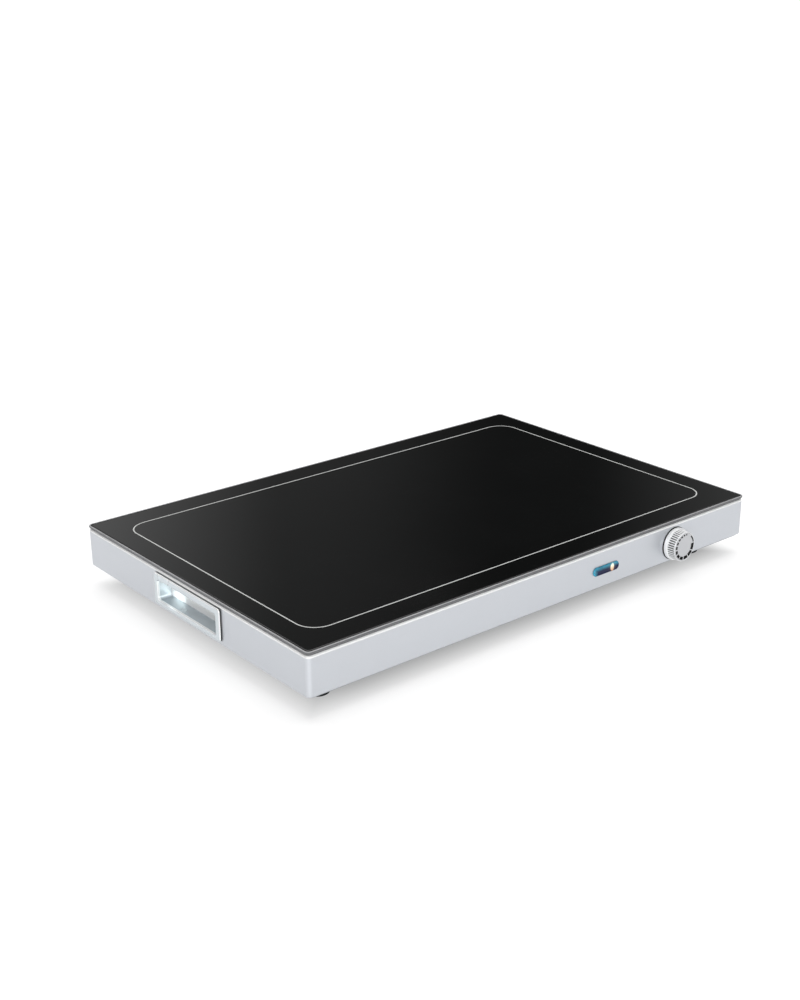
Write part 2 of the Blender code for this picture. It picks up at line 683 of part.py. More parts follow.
def foot_places():
    """The name and place of each foot."""
    return [
        (f"{row}_{end}_foot", x * (TRIM_LENGTH / 2 - FOOT_INSET_X), y * (TRIM_DEPTH / 2 - FOOT_INSET_Y))
        for row, y in (("front", -1), ("rear", 1))
        for end, x in (("left", -1), ("right", 1))
    ]


def make_base():
    """The base plate, pressed with stiffening ribs and cut with vents, and its screws."""
    flat = slab(
        "base_plate", HOUSING_LENGTH - 2 * BASE_INSET, HOUSING_DEPTH - 2 * BASE_INSET,
        BASE_BOTTOM, BASE_TOP, BASE_CORNER_RADIUS,
    )
    plate = piece("base_plate", flat, ZINC_STEEL)
    ribs = bmesh.new()
    for side in (-1, 1):
        add_slab(
            ribs, RIB_LENGTH, RIB_WIDTH, BASE_BOTTOM - RIB_HEIGHT, BASE_TOP - BASE_SHEET / 2, RIB_WIDTH / 3,
            (0, side * RIB_REACH),
        )
    round_rim(ribs, BASE_BOTTOM - RIB_HEIGHT, RIB_EDGE_RADIUS)
    combine(plate, cutter("base_ribs", as_mesh("base_ribs", ribs)), "UNION")

    cuts = bmesh.new()
    middle = (VENTS_A_GROUP - 1) / 2
    for side in (-1, 1):
        for row in range(VENTS_A_GROUP):
            add_slab(
                cuts, VENT_LENGTH, VENT_WIDTH, BASE_BOTTOM - CUT_OVERRUN, BASE_TOP + CUT_OVERRUN,
                VENT_WIDTH / 3, (side * VENT_GROUP_REACH, (row - middle) * VENT_PITCH), 1,
            )
    holes = base_screw_places() + [(x, y) for _, x, y in foot_places()]
    holes.append((INLET_X - EARTH_SCREW_SHIFT, LONG_WALL - EARTH_SCREW_FROM_WALL))
    for at in holes:
        add_round(
            cuts, SCREW_HOLE_RADIUS, BASE_BOTTOM - CUT_OVERRUN, BASE_TOP + CUT_OVERRUN,
            at, SMALL_ROUND_STEPS,
        )
    combine(plate, cutter("base_cuts", as_mesh("base_cuts", cuts)))

    screw = pan_head_screw(BASE_SCREW_LENGTH)
    for number, (x, y) in enumerate(base_screw_places(), 1):
        piece(f"base_screw_{number}", screw, ZINC_STEEL, (x, y, BASE_BOTTOM - SEAT_GAP), UPSIDE_DOWN)


def make_feet():
    """Four turned rubber feet, each with a screw sunk in a well in its tread."""
    top = BASE_BOTTOM - SEAT_GAP
    hole = SCREW_HOLE_RADIUS
    profile = [
        (hole, top),
        (FOOT_TOP_RADIUS, top),
        (FOOT_TREAD_RADIUS + FOOT_TREAD_BEVEL, FOOT_TREAD_BEVEL),
        (FOOT_TREAD_RADIUS, 0),
        (FOOT_WELL_RADIUS, 0),
        (FOOT_WELL_RADIUS, FOOT_WELL_DEPTH),
        (hole, FOOT_WELL_DEPTH),
    ]
    screw = pan_head_screw(FOOT_SCREW_LENGTH)
    for name, x, y in foot_places():
        turned(name, profile, BLACK_RUBBER, steps=FOOT_STEPS, ring=True, at=(x, y, 0))
        piece(f"{name}_screw", screw, ZINC_STEEL, (x, y, FOOT_WELL_DEPTH - SEAT_GAP), UPSIDE_DOWN)


def handle_cup_mesh():
    """A flush handle: a bezel, a drawn finger pocket and two bosses behind it."""
    back = HANDLE_PROUD - POCKET_DEPTH
    bm = bmesh.new()
    add_slab(bm, HANDLE_LENGTH, HANDLE_HEIGHT, SEAT_GAP, HANDLE_PROUD, HANDLE_CORNER_RADIUS)
    round_rim(bm, HANDLE_PROUD, HANDLE_EDGE_RADIUS)
    cup = piece("cup_blank", as_mesh("cup_blank", bm), POLISHED_METAL)
    bm = bmesh.new()
    add_slab(
        bm, POCKET_LENGTH + 2 * POCKET_WALL, POCKET_HEIGHT + 2 * POCKET_WALL, back - POCKET_WALL,
        HANDLE_PROUD / 2, POCKET_CORNER_RADIUS + POCKET_WALL, (0, -POCKET_DROP),
    )
    round_rim(bm, back - POCKET_WALL, POCKET_FLOOR_RADIUS + POCKET_WALL, EDGE_STEPS + 1)
    shell = cutter("cup_shell", as_mesh("cup_shell", bm))
    bm = bmesh.new()
    for side in (-1, 1):
        add_round(
            bm, HANDLE_BOSS_RADIUS, back - POCKET_WALL - HANDLE_BOSS_HEIGHT, back - POCKET_WALL / 2,
            (side * HANDLE_BOSS_REACH, -POCKET_DROP), SMALL_ROUND_STEPS,
        )
    bosses = cutter("cup_bosses", as_mesh("cup_bosses", bm))
    bm = bmesh.new()
    add_slab(
        bm, POCKET_LENGTH, POCKET_HEIGHT, back, HANDLE_PROUD + CUT_OVERRUN, POCKET_CORNER_RADIUS,
        (0, -POCKET_DROP),
    )
    round_rim(bm, back, POCKET_FLOOR_RADIUS, EDGE_STEPS + 1)
    cavity = cutter("cup_cavity", as_mesh("cup_cavity", bm))
    bm = bmesh.new()
    for side in (-1, 1):
        add_round(
            bm, SCREW_HOLE_RADIUS, back - POCKET_WALL - HANDLE_BOSS_HEIGHT - CUT_OVERRUN,
            back - POCKET_WALL - HANDLE_BOSS_HEIGHT + HANDLE_BOSS_HOLE_DEPTH,
            (side * HANDLE_BOSS_REACH, -POCKET_DROP), SMALL_ROUND_STEPS,
        )
    holes = cutter("cup_holes", as_mesh("cup_holes", bm))
    combine(cup, shell, "UNION")
    combine(cup, bosses, "UNION")
    combine(cup, cavity)
    combine(cup, holes)
    mesh = baked(cup)
    mesh.name = "handle_cup"
    for obj in (cup, shell, bosses, cavity, holes):
        bpy.data.objects.remove(obj, do_unlink=True)
    return mesh


def make_handles():
    """The handle cups, and the clamps and screws that pull them against the end walls."""
    cup = handle_cup_mesh()
    screw = pan_head_screw(HANDLE_SCREW_LENGTH)
    boss_end = HANDLE_PROUD - POCKET_DEPTH - POCKET_WALL - HANDLE_BOSS_HEIGHT
    bridge = boss_end - SEAT_GAP
    foot = -HOUSING_SHEET - SEAT_GAP
    knee = POCKET_LENGTH / 2 + POCKET_WALL + CLAMP_CLEARANCE
    line = [
        (-knee - CLAMP_FOOT, foot), (-knee, foot), (-knee, bridge),
        (knee, bridge), (knee, foot), (knee + CLAMP_FOOT, foot),
    ]
    holes = bmesh.new()
    for reach in (-HANDLE_BOSS_REACH, HANDLE_BOSS_REACH):
        add_round(
            holes, SCREW_HOLE_RADIUS, bridge - CLAMP_SHEET - CUT_OVERRUN, bridge + CUT_OVERRUN,
            (reach, 0), SMALL_ROUND_STEPS,
        )
    holes_mesh = as_mesh("clamp_holes", holes)
    for side, end, turn in (("left", -END_WALL, OUT_OF_LEFT), ("right", END_WALL, OUT_OF_RIGHT)):
        piece(f"{side}_handle_cup", cup, POLISHED_METAL, (end, 0, HANDLE_LEVEL), turn)
        low = (end, 0, POCKET_LEVEL)
        clamp = strip(f"{side}_handle_clamp", line, CLAMP_WIDTH, CLAMP_SHEET, ZINC_STEEL, at=low, turn=turn)
        combine(clamp, cutter(f"{side}_clamp_holes", holes_mesh, low, turn))
        for number, reach in enumerate((-HANDLE_BOSS_REACH, HANDLE_BOSS_REACH), 1):
            holder = bpy.data.objects.new(f"{side}_handle_screw_{number}_seat", None)
            PARTS.objects.link(holder)
            place(holder, low, turn, None)
            seat = (reach, 0, bridge - CLAMP_SHEET - SEAT_GAP)
            piece(f"{side}_handle_screw_{number}", screw, ZINC_STEEL, seat, UPSIDE_DOWN, holder)


def make_knob():
    """The ribbed knob, its cap and the thermostat shaft, on one empty that lies on their axis."""
    axis = bpy.data.objects.new("knob_axis", None)
    PARTS.objects.link(axis)
    place(axis, (KNOB_X, -LONG_WALL, CONTROL_HEIGHT), OUT_OF_FRONT, None)

    base = KNOB_STANDOFF
    front = base + KNOB_HEIGHT
    skirt_top = base + KNOB_SKIRT_HEIGHT
    skirt = bmesh.new()
    add_round(skirt, KNOB_RADIUS, base, skirt_top, steps=GRIP_RIBS)
    round_rim(skirt, skirt_top, KNOB_SKIRT_BEVEL)
    knob = piece("control_knob", as_mesh("control_knob", skirt, smooth=True), SILVER_PLASTIC, parent=axis)

    grip = bmesh.new()
    add_round(
        grip, GRIP_BASE_RADIUS, skirt_top - KNOB_SKIRT_BEVEL * 2, front, steps=2 * GRIP_RIBS,
        top_radius=GRIP_TOP_RADIUS,
    )
    for vert in grip.verts:
        turn_share = math.atan2(vert.co.y, vert.co.x) / (2 * math.pi)
        if round(turn_share * 2 * GRIP_RIBS) % 2:
            flat = vert.co.to_2d().normalized() * GRIP_RIB_DEPTH
            vert.co.x -= flat.x
            vert.co.y -= flat.y
    combine(knob, cutter("knob_grip", as_mesh("knob_grip", grip), parent=axis), "UNION")

    hollow = bmesh.new()
    ceiling = base + KNOB_HOLLOW_DEPTH
    add_round(hollow, KNOB_HOLLOW_RADIUS, base - CUT_OVERRUN, ceiling)
    combine(knob, cutter("knob_hollow", as_mesh("knob_hollow", hollow), parent=axis))
    bore_end = ceiling + KNOB_BORE_DEPTH
    bore = d_section("knob_bore", SHAFT_RADIUS + SEAT_GAP, ceiling - CUT_OVERRUN / 3, bore_end)
    combine(knob, cutter("knob_bore", bore, parent=axis))
    socket = rod(
        "cap_socket", CAP_SPIGOT_RADIUS + SEAT_GAP, front - CAP_SPIGOT_LENGTH - SEAT_GAP,
        front + CUT_OVERRUN, MEDIUM_ROUND_STEPS,
    )
    combine(knob, cutter("cap_socket", socket, parent=axis))

    seat = front + SEAT_GAP
    face = seat + CAP_THICKNESS
    spigot_end = front - CAP_SPIGOT_LENGTH + SEAT_GAP
    profile = [
        (0, face),
        (CAP_RADIUS - CAP_EDGE_RADIUS, face),
        (CAP_RADIUS, face - CAP_EDGE_RADIUS),
        (CAP_RADIUS, seat),
        (CAP_SPIGOT_RADIUS, seat),
        (CAP_SPIGOT_RADIUS, spigot_end),
        (0, spigot_end),
    ]
    turned("knob_cap", profile, SILVER_PLASTIC, steps=GRIP_RIBS, parent=axis)
    shaft = d_section("thermostat_shaft", SHAFT_RADIUS, -SHAFT_ROOT, bore_end - SEAT_GAP)
    piece("thermostat_shaft", shaft, BRASS, parent=axis)


def d_section(name, radius, bottom, top):
    """A round bar with a flat along one side."""
    bm = bmesh.new()
    steps = MEDIUM_ROUND_STEPS
    add_round(bm, radius, bottom, top, steps=steps)
    for vert in bm.verts:
        vert.co.y = min(vert.co.y, radius - SHAFT_FLAT_DEPTH)
    bmesh.ops.remove_doubles(bm, verts=bm.verts, dist=MERGE_DISTANCE)
    bmesh.ops.dissolve_limit(bm, angle_limit=FLAT_ANGLE, verts=bm.verts, edges=bm.edges)
    return as_mesh(name, bm, smooth=True)


def make_thermostat():
    """The thermostat's case and bushing, its nut, and the sensing bulb on its capillary."""
    inner = -HOUSING_SHEET - SEAT_GAP
    back = inner - THERMOSTAT_DEPTH
    at = (KNOB_X, -LONG_WALL, CONTROL_HEIGHT)
    case = slab(
        "thermostat_body", THERMOSTAT_LENGTH, THERMOSTAT_HEIGHT, back, inner, THERMOSTAT_CORNER_RADIUS,
    )
    body = piece("thermostat_body", case, BLACK_PLASTIC, at, OUT_OF_FRONT)
    extras = bmesh.new()
    add_round(extras, BUSHING_RADIUS, inner - BUSHING_PROUD, BUSHING_PROUD, steps=MEDIUM_ROUND_STEPS)
    for side in (-1, 1):
        add_slab(
            extras, TAB_THICKNESS, TAB_WIDTH, back - TAB_LENGTH, back + TAB_LENGTH / 2,
            centre=(side * TAB_REACH, 0),
        )
    bushing = cutter("thermostat_extras", as_mesh("thermostat_extras", extras), at, OUT_OF_FRONT)
    combine(body, bushing, "UNION")
    bore = rod(
        "bushing_bore", SHAFT_RADIUS + RUNNING_GAP, -SHAFT_ROOT - RUNNING_GAP, BUSHING_PROUD + CUT_OVERRUN,
        MEDIUM_ROUND_STEPS,
    )
    combine(body, cutter("bushing_bore", bore, at, OUT_OF_FRONT))

    nut_radius = NUT_ACROSS_FLATS / math.sqrt(3)
    hexagon = rod("thermostat_nut", nut_radius, SEAT_GAP, SEAT_GAP + NUT_THICKNESS, NUT_SIDES)
    nut = piece("thermostat_nut", hexagon, BRASS, at, OUT_OF_FRONT)
    thread = rod(
        "nut_thread", BUSHING_RADIUS + SEAT_GAP, -CUT_OVERRUN, NUT_THICKNESS + CUT_OVERRUN,
        MEDIUM_ROUND_STEPS,
    )
    combine(nut, cutter("nut_thread", thread, at, OUT_OF_FRONT))

    bulb_y = -(LONG_WALL - BULB_FROM_WALL)
    bulb_z = SPREADER_BOTTOM - SEAT_GAP - BULB_RADIUS
    start_x = KNOB_X - THERMOSTAT_LENGTH / 3
    start_z = CONTROL_HEIGHT + THERMOSTAT_HEIGHT / 3
    bulb_start = KNOB_X - BULB_SHIFT
    start = Vector((start_x, -THERMOSTAT_BACK + SEAT_GAP, start_z))
    bend = Vector((start_x, bulb_y, (start_z + bulb_z) / 2))
    meet = Vector((bulb_start + BULB_FROM_WALL / 2, bulb_y, bulb_z))
    route = smooth_route([start, start + Vector((0, BULB_RADIUS, 0)), bend, meet], 3)
    thin = len(route)
    route += [Vector((bulb_start + BULB_RADIUS, bulb_y, bulb_z)), Vector((bulb_start, bulb_y, bulb_z))]
    route.append(Vector((bulb_start - BULB_LENGTH, bulb_y, bulb_z)))
    radii = [CAPILLARY_RADIUS] * (thin + 1) + [BULB_RADIUS] * 2
    tube("capillary_bulb", route, BULB_RADIUS, COPPER, radii=radii, smooth=False)

    wrap = (BULB_RADIUS + SEAT_GAP) / math.cos(math.pi / (2 * CLIP_TURNS))
    seat = SPREADER_BOTTOM - SEAT_GAP
    turns = [math.pi + math.pi * step / CLIP_TURNS for step in range(CLIP_TURNS + 1)]
    line = [(wrap * math.cos(turn), bulb_z - seat + wrap * math.sin(turn)) for turn in turns]
    line = [(-wrap - CLIP_FOOT, 0), (-wrap, 0), *line, (wrap, 0), (wrap + CLIP_FOOT, 0)]
    strip(
        "bulb_clip", line, CLIP_WIDTH, CLIP_SHEET, ZINC_STEEL,
        at=(bulb_start - BULB_LENGTH / 2, bulb_y, seat), turn=(0, 0, math.pi / 2),
    )


def make_indicator():
    """The indicator's capsule lens, with the lamp in its holder behind it."""
    at = (LENS_X, -LONG_WALL, CONTROL_HEIGHT)
    flange = slab(
        "indicator_lens", LENS_LENGTH, LENS_HEIGHT, SEAT_GAP, LENS_PROUD,
        LENS_HEIGHT / 2 - SEAT_GAP / 3, LENS_EDGE_RADIUS,
    )
    lens = piece("indicator_lens", flange, BLUE_LENS, at, OUT_OF_FRONT)
    lip = LENS_LIP + SEAT_GAP
    plug_length = LENS_LENGTH - 2 * lip
    plug_height = LENS_HEIGHT - 2 * lip
    plug = slab(
        "lens_plug", plug_length, plug_height, -LENS_PLUG_DEPTH, LENS_PROUD / 2,
        plug_height / 2 - SEAT_GAP,
    )
    combine(lens, cutter("lens_plug", plug, at, OUT_OF_FRONT), "UNION")
    cavity_length = plug_length - 2 * LENS_WALL
    cavity_height = plug_height - 2 * LENS_WALL
    cavity = slab(
        "lens_cavity", cavity_length, cavity_height, -LENS_PLUG_DEPTH - CUT_OVERRUN,
        LENS_PROUD - LENS_WALL, cavity_height / 2 - SEAT_GAP,
    )
    combine(lens, cutter("lens_cavity", cavity, at, OUT_OF_FRONT))

    mouth = -LENS_PLUG_DEPTH - SEAT_GAP
    back = mouth - HOLDER_DEPTH
    lamp_at = (LENS_X + LAMP_SHIFT, -LONG_WALL, CONTROL_HEIGHT)
    block = slab("lamp_holder", HOLDER_LENGTH, HOLDER_HEIGHT, back, mouth, THERMOSTAT_CORNER_RADIUS)
    holder = piece("lamp_holder", block, BLACK_PLASTIC, at, OUT_OF_FRONT)
    seat = back + HOLDER_FLOOR
    bore = rod("lamp_bore", LAMP_RADIUS + SEAT_GAP, seat, mouth + CUT_OVERRUN, SMALL_ROUND_STEPS)
    combine(holder, cutter("lamp_bore", bore, lamp_at, OUT_OF_FRONT))
    foot = seat + SEAT_GAP
    tip = foot + LAMP_LENGTH
    profile = [
        (0, tip),
        (LAMP_RADIUS / 2, tip),
        (LAMP_RADIUS, tip - LAMP_RADIUS / 2),
        (LAMP_RADIUS, foot),
        (0, foot),
    ]
    turned("neon_lamp", profile, AMBER_LAMP, steps=SMALL_ROUND_STEPS, at=lamp_at, turn=OUT_OF_FRONT)


def heater_route():
    """The heater wire's points: straight runs along X joined by half turns, and two tails to the right."""
    radius = HEATER_RUN_PITCH / 2
    bend_x = HEATER_REACH - radius
    points = [(WIRE_END, -HEATER_SPAN, WIRE_CENTRE)]
    for run in range(HEATER_RUNS):
        y = run * HEATER_RUN_PITCH - HEATER_SPAN
        side = -1 if run % 2 == 0 else 1
        if run < HEATER_RUNS - 1:
            for step in range(HEATER_BEND_STEPS + 1):
                turn = math.pi * step / HEATER_BEND_STEPS
                x = side * (bend_x + radius * math.sin(turn))
                points.append((x, y + radius - radius * math.cos(turn), WIRE_CENTRE))
    points.append((WIRE_END, HEATER_SPAN, WIRE_CENTRE))
    return points


def make_heater():
    """The spreader under the glass, the heater wire on its foil, and the mat in the shield below."""
    inner = 2 * (SHOULDER_WIDTH + LEDGE_WIDTH + SPREADER_MARGIN)
    spreader = slab(
        "heat_spreader", HOUSING_LENGTH - inner, HOUSING_DEPTH - inner, SPREADER_BOTTOM, SPREADER_TOP,
        SPREADER_CORNER_RADIUS,
    )
    piece("heat_spreader", spreader, ALUMINIUM)
    tube("heating_wire", heater_route(), HEATER_WIRE_RADIUS, HEATER_SLEEVE, smooth=False)

    mat_length = SHIELD_LENGTH - 2 * (SHIELD_SHEET + MAT_GAP)
    mat_width = SHIELD_WIDTH - 2 * (SHIELD_SHEET + MAT_GAP)
    foil = slab(
        "element_foil", mat_length, mat_width, FOIL_TOP - FOIL_THICKNESS, FOIL_TOP, SHIELD_CORNER_RADIUS,
    )
    piece("element_foil", foil, ALUMINIUM)
    mat = slab("insulation_mat", mat_length, mat_width, MAT_BOTTOM, MAT_TOP, SHIELD_CORNER_RADIUS)
    piece("insulation_mat", mat, CERAMIC_WOOL)

    bm = bmesh.new()
    rim = SHIELD_BOTTOM + SHIELD_RIM
    add_slab(bm, SHIELD_LENGTH, SHIELD_WIDTH, SHIELD_BOTTOM, rim, SHIELD_CORNER_RADIUS)
    lid = max(bm.faces, key=lambda face: face.calc_center_median().z)
    bmesh.ops.delete(bm, geom=[lid], context="FACES_ONLY")
    shield = piece("heat_shield", as_mesh("heat_shield", bm), ALUMINIUM)
    sheet = shield.modifiers.new("sheet", "SOLIDIFY")
    sheet.thickness = SHIELD_SHEET
    sheet.offset = -1
    sheet.use_even_offset = True

    top = SHIELD_BOTTOM - SEAT_GAP - FLOOR_OF_TRAY
    half = RAIL_TOP_WIDTH / 2
    toe = half + RAIL_FOOT_WIDTH
    line = [
        (-toe, RAIL_SHEET), (-half, RAIL_SHEET), (-half, top),
        (half, top), (half, RAIL_SHEET), (toe, RAIL_SHEET),
    ]
    for side, x in (("left", -RAIL_REACH), ("right", RAIL_REACH)):
        strip(f"{side}_support_rail", line, RAIL_LENGTH, RAIL_SHEET, ZINC_STEEL, at=(x, 0, FLOOR_OF_TRAY))


def make_inlet():
    """The power inlet in the rear wall, its three pins and its screws."""
    at = (INLET_X, LONG_WALL, WALL_MIDDLE)
    bm = bmesh.new()
    add_slab(bm, INLET_FLANGE_LENGTH, INLET_FLANGE_HEIGHT, SEAT_GAP, INLET_FLANGE_PROUD, INLET_FLANGE_RADIUS)
    round_rim(bm, INLET_FLANGE_PROUD, INLET_EDGE_RADIUS)
    inlet = piece("power_inlet", as_mesh("power_inlet", bm), BLACK_PLASTIC, at, OUT_OF_REAR)
    body = slab(
        "inlet_body", INLET_BODY_LENGTH, INLET_BODY_HEIGHT, -INLET_BODY_DEPTH, INLET_FLANGE_PROUD / 2,
        INLET_SOCKET_RADIUS,
    )
    combine(inlet, cutter("inlet_body", body, at, OUT_OF_REAR), "UNION")
    floor = INLET_FLANGE_PROUD - INLET_SOCKET_DEPTH
    socket = slab(
        "inlet_socket", INLET_SOCKET_LENGTH, INLET_SOCKET_HEIGHT, floor, INLET_FLANGE_PROUD + CUT_OVERRUN,
        INLET_SOCKET_RADIUS,
    )
    combine(inlet, cutter("inlet_socket", socket, at, OUT_OF_REAR))

    pins = (("neutral", PIN_PITCH, 0), ("earth", 0, PIN_EARTH_RISE), ("live", -PIN_PITCH, 0))
    slots = bmesh.new()
    for _, x, y in pins:
        add_slab(
            slots, PIN_WIDTH + 2 * SEAT_GAP, PIN_HEIGHT + 2 * SEAT_GAP, -INLET_BODY_DEPTH - CUT_OVERRUN,
            floor + CUT_OVERRUN / 3, centre=(x, y - PIN_EARTH_RISE / 2),
        )
    for side in (-1, 1):
        add_round(
            slots, SCREW_HOLE_RADIUS, -CUT_OVERRUN, INLET_FLANGE_PROUD + CUT_OVERRUN,
            (side * INLET_SCREW_REACH, 0), SMALL_ROUND_STEPS,
        )
    combine(inlet, cutter("inlet_slots", as_mesh("inlet_slots", slots), at, OUT_OF_REAR))

    seat = bpy.data.objects.new("inlet_centre", None)
    PARTS.objects.link(seat)
    place(seat, at, OUT_OF_REAR, None)
    for name, x, y in pins:
        tail = -INLET_BODY_DEPTH - PIN_TAIL
        blade = slab(f"inlet_pin_{name}", PIN_WIDTH, PIN_HEIGHT, tail, floor + PIN_REACH)
        piece(f"inlet_pin_{name}", blade, BRASS, (x, y - PIN_EARTH_RISE / 2, 0), parent=seat)
    screw = pan_head_screw(INLET_SCREW_LENGTH)
    for number, side in enumerate((-1, 1), 1):
        spot = (side * INLET_SCREW_REACH, 0, INLET_FLANGE_PROUD + SEAT_GAP)
        piece(f"inlet_screw_{number}", screw, ZINC_STEEL, spot, parent=seat)


def make_wiring():
    """The terminal block, the thermal fuse, the earth screw and the leads between them."""
    block_y = LONG_WALL - BLOCK_FROM_WALL
    block_x = INLET_X
    block_top = FLOOR_OF_TRAY + BLOCK_HEIGHT
    block = slab("terminal_block", BLOCK_LENGTH, BLOCK_WIDTH, FLOOR_OF_TRAY, block_top, BLOCK_RADIUS)
    piece("terminal_block", block, LEAD_SLEEVE, (block_x, block_y, 0))
    block_mid = FLOOR_OF_TRAY + BLOCK_HEIGHT / 2

    earth_at = (INLET_X - EARTH_SCREW_SHIFT, LONG_WALL - EARTH_SCREW_FROM_WALL)
    earth_seat = BASE_TOP + SEAT_GAP
    piece("earth_screw", pan_head_screw(EARTH_SCREW_LENGTH), BRASS, (*earth_at, earth_seat))

    tail_y = LONG_WALL - INLET_BODY_DEPTH - PIN_TAIL - SEAT_GAP
    pin_low = WALL_MIDDLE - PIN_EARTH_RISE / 2
    live_x = INLET_X + PIN_PITCH
    neutral_x = INLET_X - PIN_PITCH
    tab_y = -THERMOSTAT_BACK + TAB_LENGTH + SEAT_GAP
    near_floor = FLOOR_OF_TRAY + 2 * LEAD_RADIUS
    lead_lane = block_x + BLOCK_LENGTH / 2 + LEAD_LANE_GAP
    step = 4 * LEAD_RADIUS

    tube(
        "neutral_lead",
        [
            (neutral_x, tail_y, pin_low), (neutral_x, tail_y - step, pin_low),
            (neutral_x, block_y + BLOCK_WIDTH / 2 + step, block_mid),
            (neutral_x, block_y + BLOCK_WIDTH / 2 + SEAT_GAP, block_mid),
        ],
        LEAD_RADIUS, LEAD_SLEEVE,
    )
    tube(
        "earth_lead",
        [
            (INLET_X, tail_y, pin_low + PIN_EARTH_RISE), (INLET_X, tail_y - step, pin_low + PIN_EARTH_RISE),
            (INLET_X - EARTH_SCREW_SHIFT / 3, tail_y - 3 * step, WALL_MIDDLE - step),
            (earth_at[0] + 3 * step, earth_at[1], near_floor),
            (earth_at[0] + SCREW_HEAD_RADIUS + SEAT_GAP, earth_at[1], earth_seat + LEAD_RADIUS + SEAT_GAP),
        ],
        LEAD_RADIUS, EARTH_SLEEVE,
    )
    tube(
        "live_lead",
        [
            (live_x, tail_y, pin_low), (live_x, tail_y - step, pin_low),
            (live_x + 4 * step, tail_y - 4 * step, near_floor + step),
            (lead_lane, block_y - BLOCK_WIDTH, near_floor), (lead_lane, 0, near_floor),
            (lead_lane, -block_y + BLOCK_WIDTH, near_floor),
            (KNOB_X + 2 * TAB_REACH, tab_y + 3 * step, near_floor),
            (KNOB_X - TAB_REACH, tab_y + 3 * step, near_floor + step),
            (KNOB_X - TAB_REACH, tab_y + step, CONTROL_HEIGHT), (KNOB_X - TAB_REACH, tab_y, CONTROL_HEIGHT),
        ],
        LEAD_RADIUS, LEAD_SLEEVE,
    )

    wire_end = WIRE_END + SEAT_GAP
    turn_x = wire_end + step
    tube(
        "front_heater_lead",
        [
            (wire_end, -HEATER_SPAN, WIRE_CENTRE), (wire_end + step / 4, -HEATER_SPAN, WIRE_CENTRE),
            (turn_x - step / 4, -HEATER_SPAN, WIRE_CENTRE - step / 2),
            (turn_x, -HEATER_SPAN - step, CONTROL_HEIGHT + step),
            (turn_x - step / 2, tab_y + step, CONTROL_HEIGHT),
            (KNOB_X + 4 * TAB_REACH, tab_y + step, CONTROL_HEIGHT),
            (KNOB_X + TAB_REACH + step / 2, tab_y + step, CONTROL_HEIGHT),
            (KNOB_X + TAB_REACH, tab_y + step / 2, CONTROL_HEIGHT),
            (KNOB_X + TAB_REACH, tab_y, CONTROL_HEIGHT),
        ],
        LEAD_RADIUS, LEAD_SLEEVE,
    )
    fuse_z = SHIELD_BOTTOM - SEAT_GAP - FUSE_RADIUS
    block_end = block_x + BLOCK_LENGTH / 2 + SEAT_GAP
    fuse_start = block_end + 2 * step
    fuse_stop = fuse_start + FUSE_LENGTH
    fuse_end = fuse_stop + step / 2
    thin = FUSE_WIRE_RADIUS
    near_wire = [
        (block_end, block_y, block_mid), (block_end + step / 2, block_y, block_mid),
        (block_end + step, block_y, fuse_z - step / 2), (fuse_start - step / 2, block_y, fuse_z),
        (fuse_start - thin, block_y, fuse_z),
    ]
    case = [(fuse_start, block_y, fuse_z), (fuse_stop, block_y, fuse_z)]
    far_wire = [(fuse_stop + thin, block_y, fuse_z), (fuse_end, block_y, fuse_z)]
    route = near_wire + case + far_wire
    radii = [thin] * len(near_wire) + [FUSE_RADIUS] * len(case) + [thin] * len(far_wire)
    tube("thermal_fuse", route, FUSE_RADIUS, ZINC_STEEL, radii=radii, smooth=False)
    tube(
        "rear_heater_lead",
        [
            (wire_end, HEATER_SPAN, WIRE_CENTRE), (wire_end + step / 4, HEATER_SPAN, WIRE_CENTRE),
            (turn_x - step / 4, HEATER_SPAN, WIRE_CENTRE - step / 2), (turn_x, HEATER_SPAN, fuse_z + step),
            (turn_x - step / 2, block_y, fuse_z - step), (fuse_end + step, block_y, fuse_z),
            (fuse_end + SEAT_GAP, block_y, fuse_z),
        ],
        LEAD_RADIUS, LEAD_SLEEVE,
    )

    holder_end = LENS_X + HOLDER_LENGTH / 2 + SEAT_GAP
    case_end = KNOB_X - THERMOSTAT_LENGTH / 2 - SEAT_GAP
    lamp_y = -(LONG_WALL - LENS_PLUG_DEPTH - HOLDER_DEPTH / 2)
    tube(
        "lamp_live_lead",
        [
            (holder_end, lamp_y, CONTROL_HEIGHT), (holder_end + step, lamp_y, CONTROL_HEIGHT),
            ((holder_end + case_end) / 2, lamp_y, CONTROL_HEIGHT - step),
            (case_end - step, lamp_y, CONTROL_HEIGHT), (case_end, lamp_y, CONTROL_HEIGHT),
        ],
        LAMP_LEAD_RADIUS, LEAD_SLEEVE,
    )
    holder_back = -(LONG_WALL - LENS_PLUG_DEPTH - SEAT_GAP - HOLDER_DEPTH) + SEAT_GAP
    rail_end = RAIL_LENGTH / 2
    inside_lane = RAIL_REACH + RAIL_TOP_WIDTH / 2 + RAIL_FOOT_WIDTH + step
    tube(
        "lamp_neutral_lead",
        [
            (LENS_X, holder_back, CONTROL_HEIGHT), (LENS_X, holder_back + step, CONTROL_HEIGHT),
            (LENS_X + 4 * step, -rail_end - 2 * step, near_floor),
            (RAIL_REACH, -rail_end - 2 * step, near_floor),
            (inside_lane, -rail_end, near_floor), (inside_lane, 0, near_floor),
            (inside_lane, block_y - BLOCK_WIDTH - 2 * step, near_floor),
            (block_x - BLOCK_LENGTH / 4, block_y - BLOCK_WIDTH / 2 - step, block_mid),
            (block_x - BLOCK_LENGTH / 4, block_y - BLOCK_WIDTH / 2 - SEAT_GAP, block_mid),
        ],
        LAMP_LEAD_RADIUS, LEAD_SLEEVE,
    )


make_glass()
cut_wall_openings(make_housing())
make_base()
make_feet()
make_handles()
make_knob()
make_thermostat()
make_indicator()
make_heater()
make_inlet()
make_wiring()
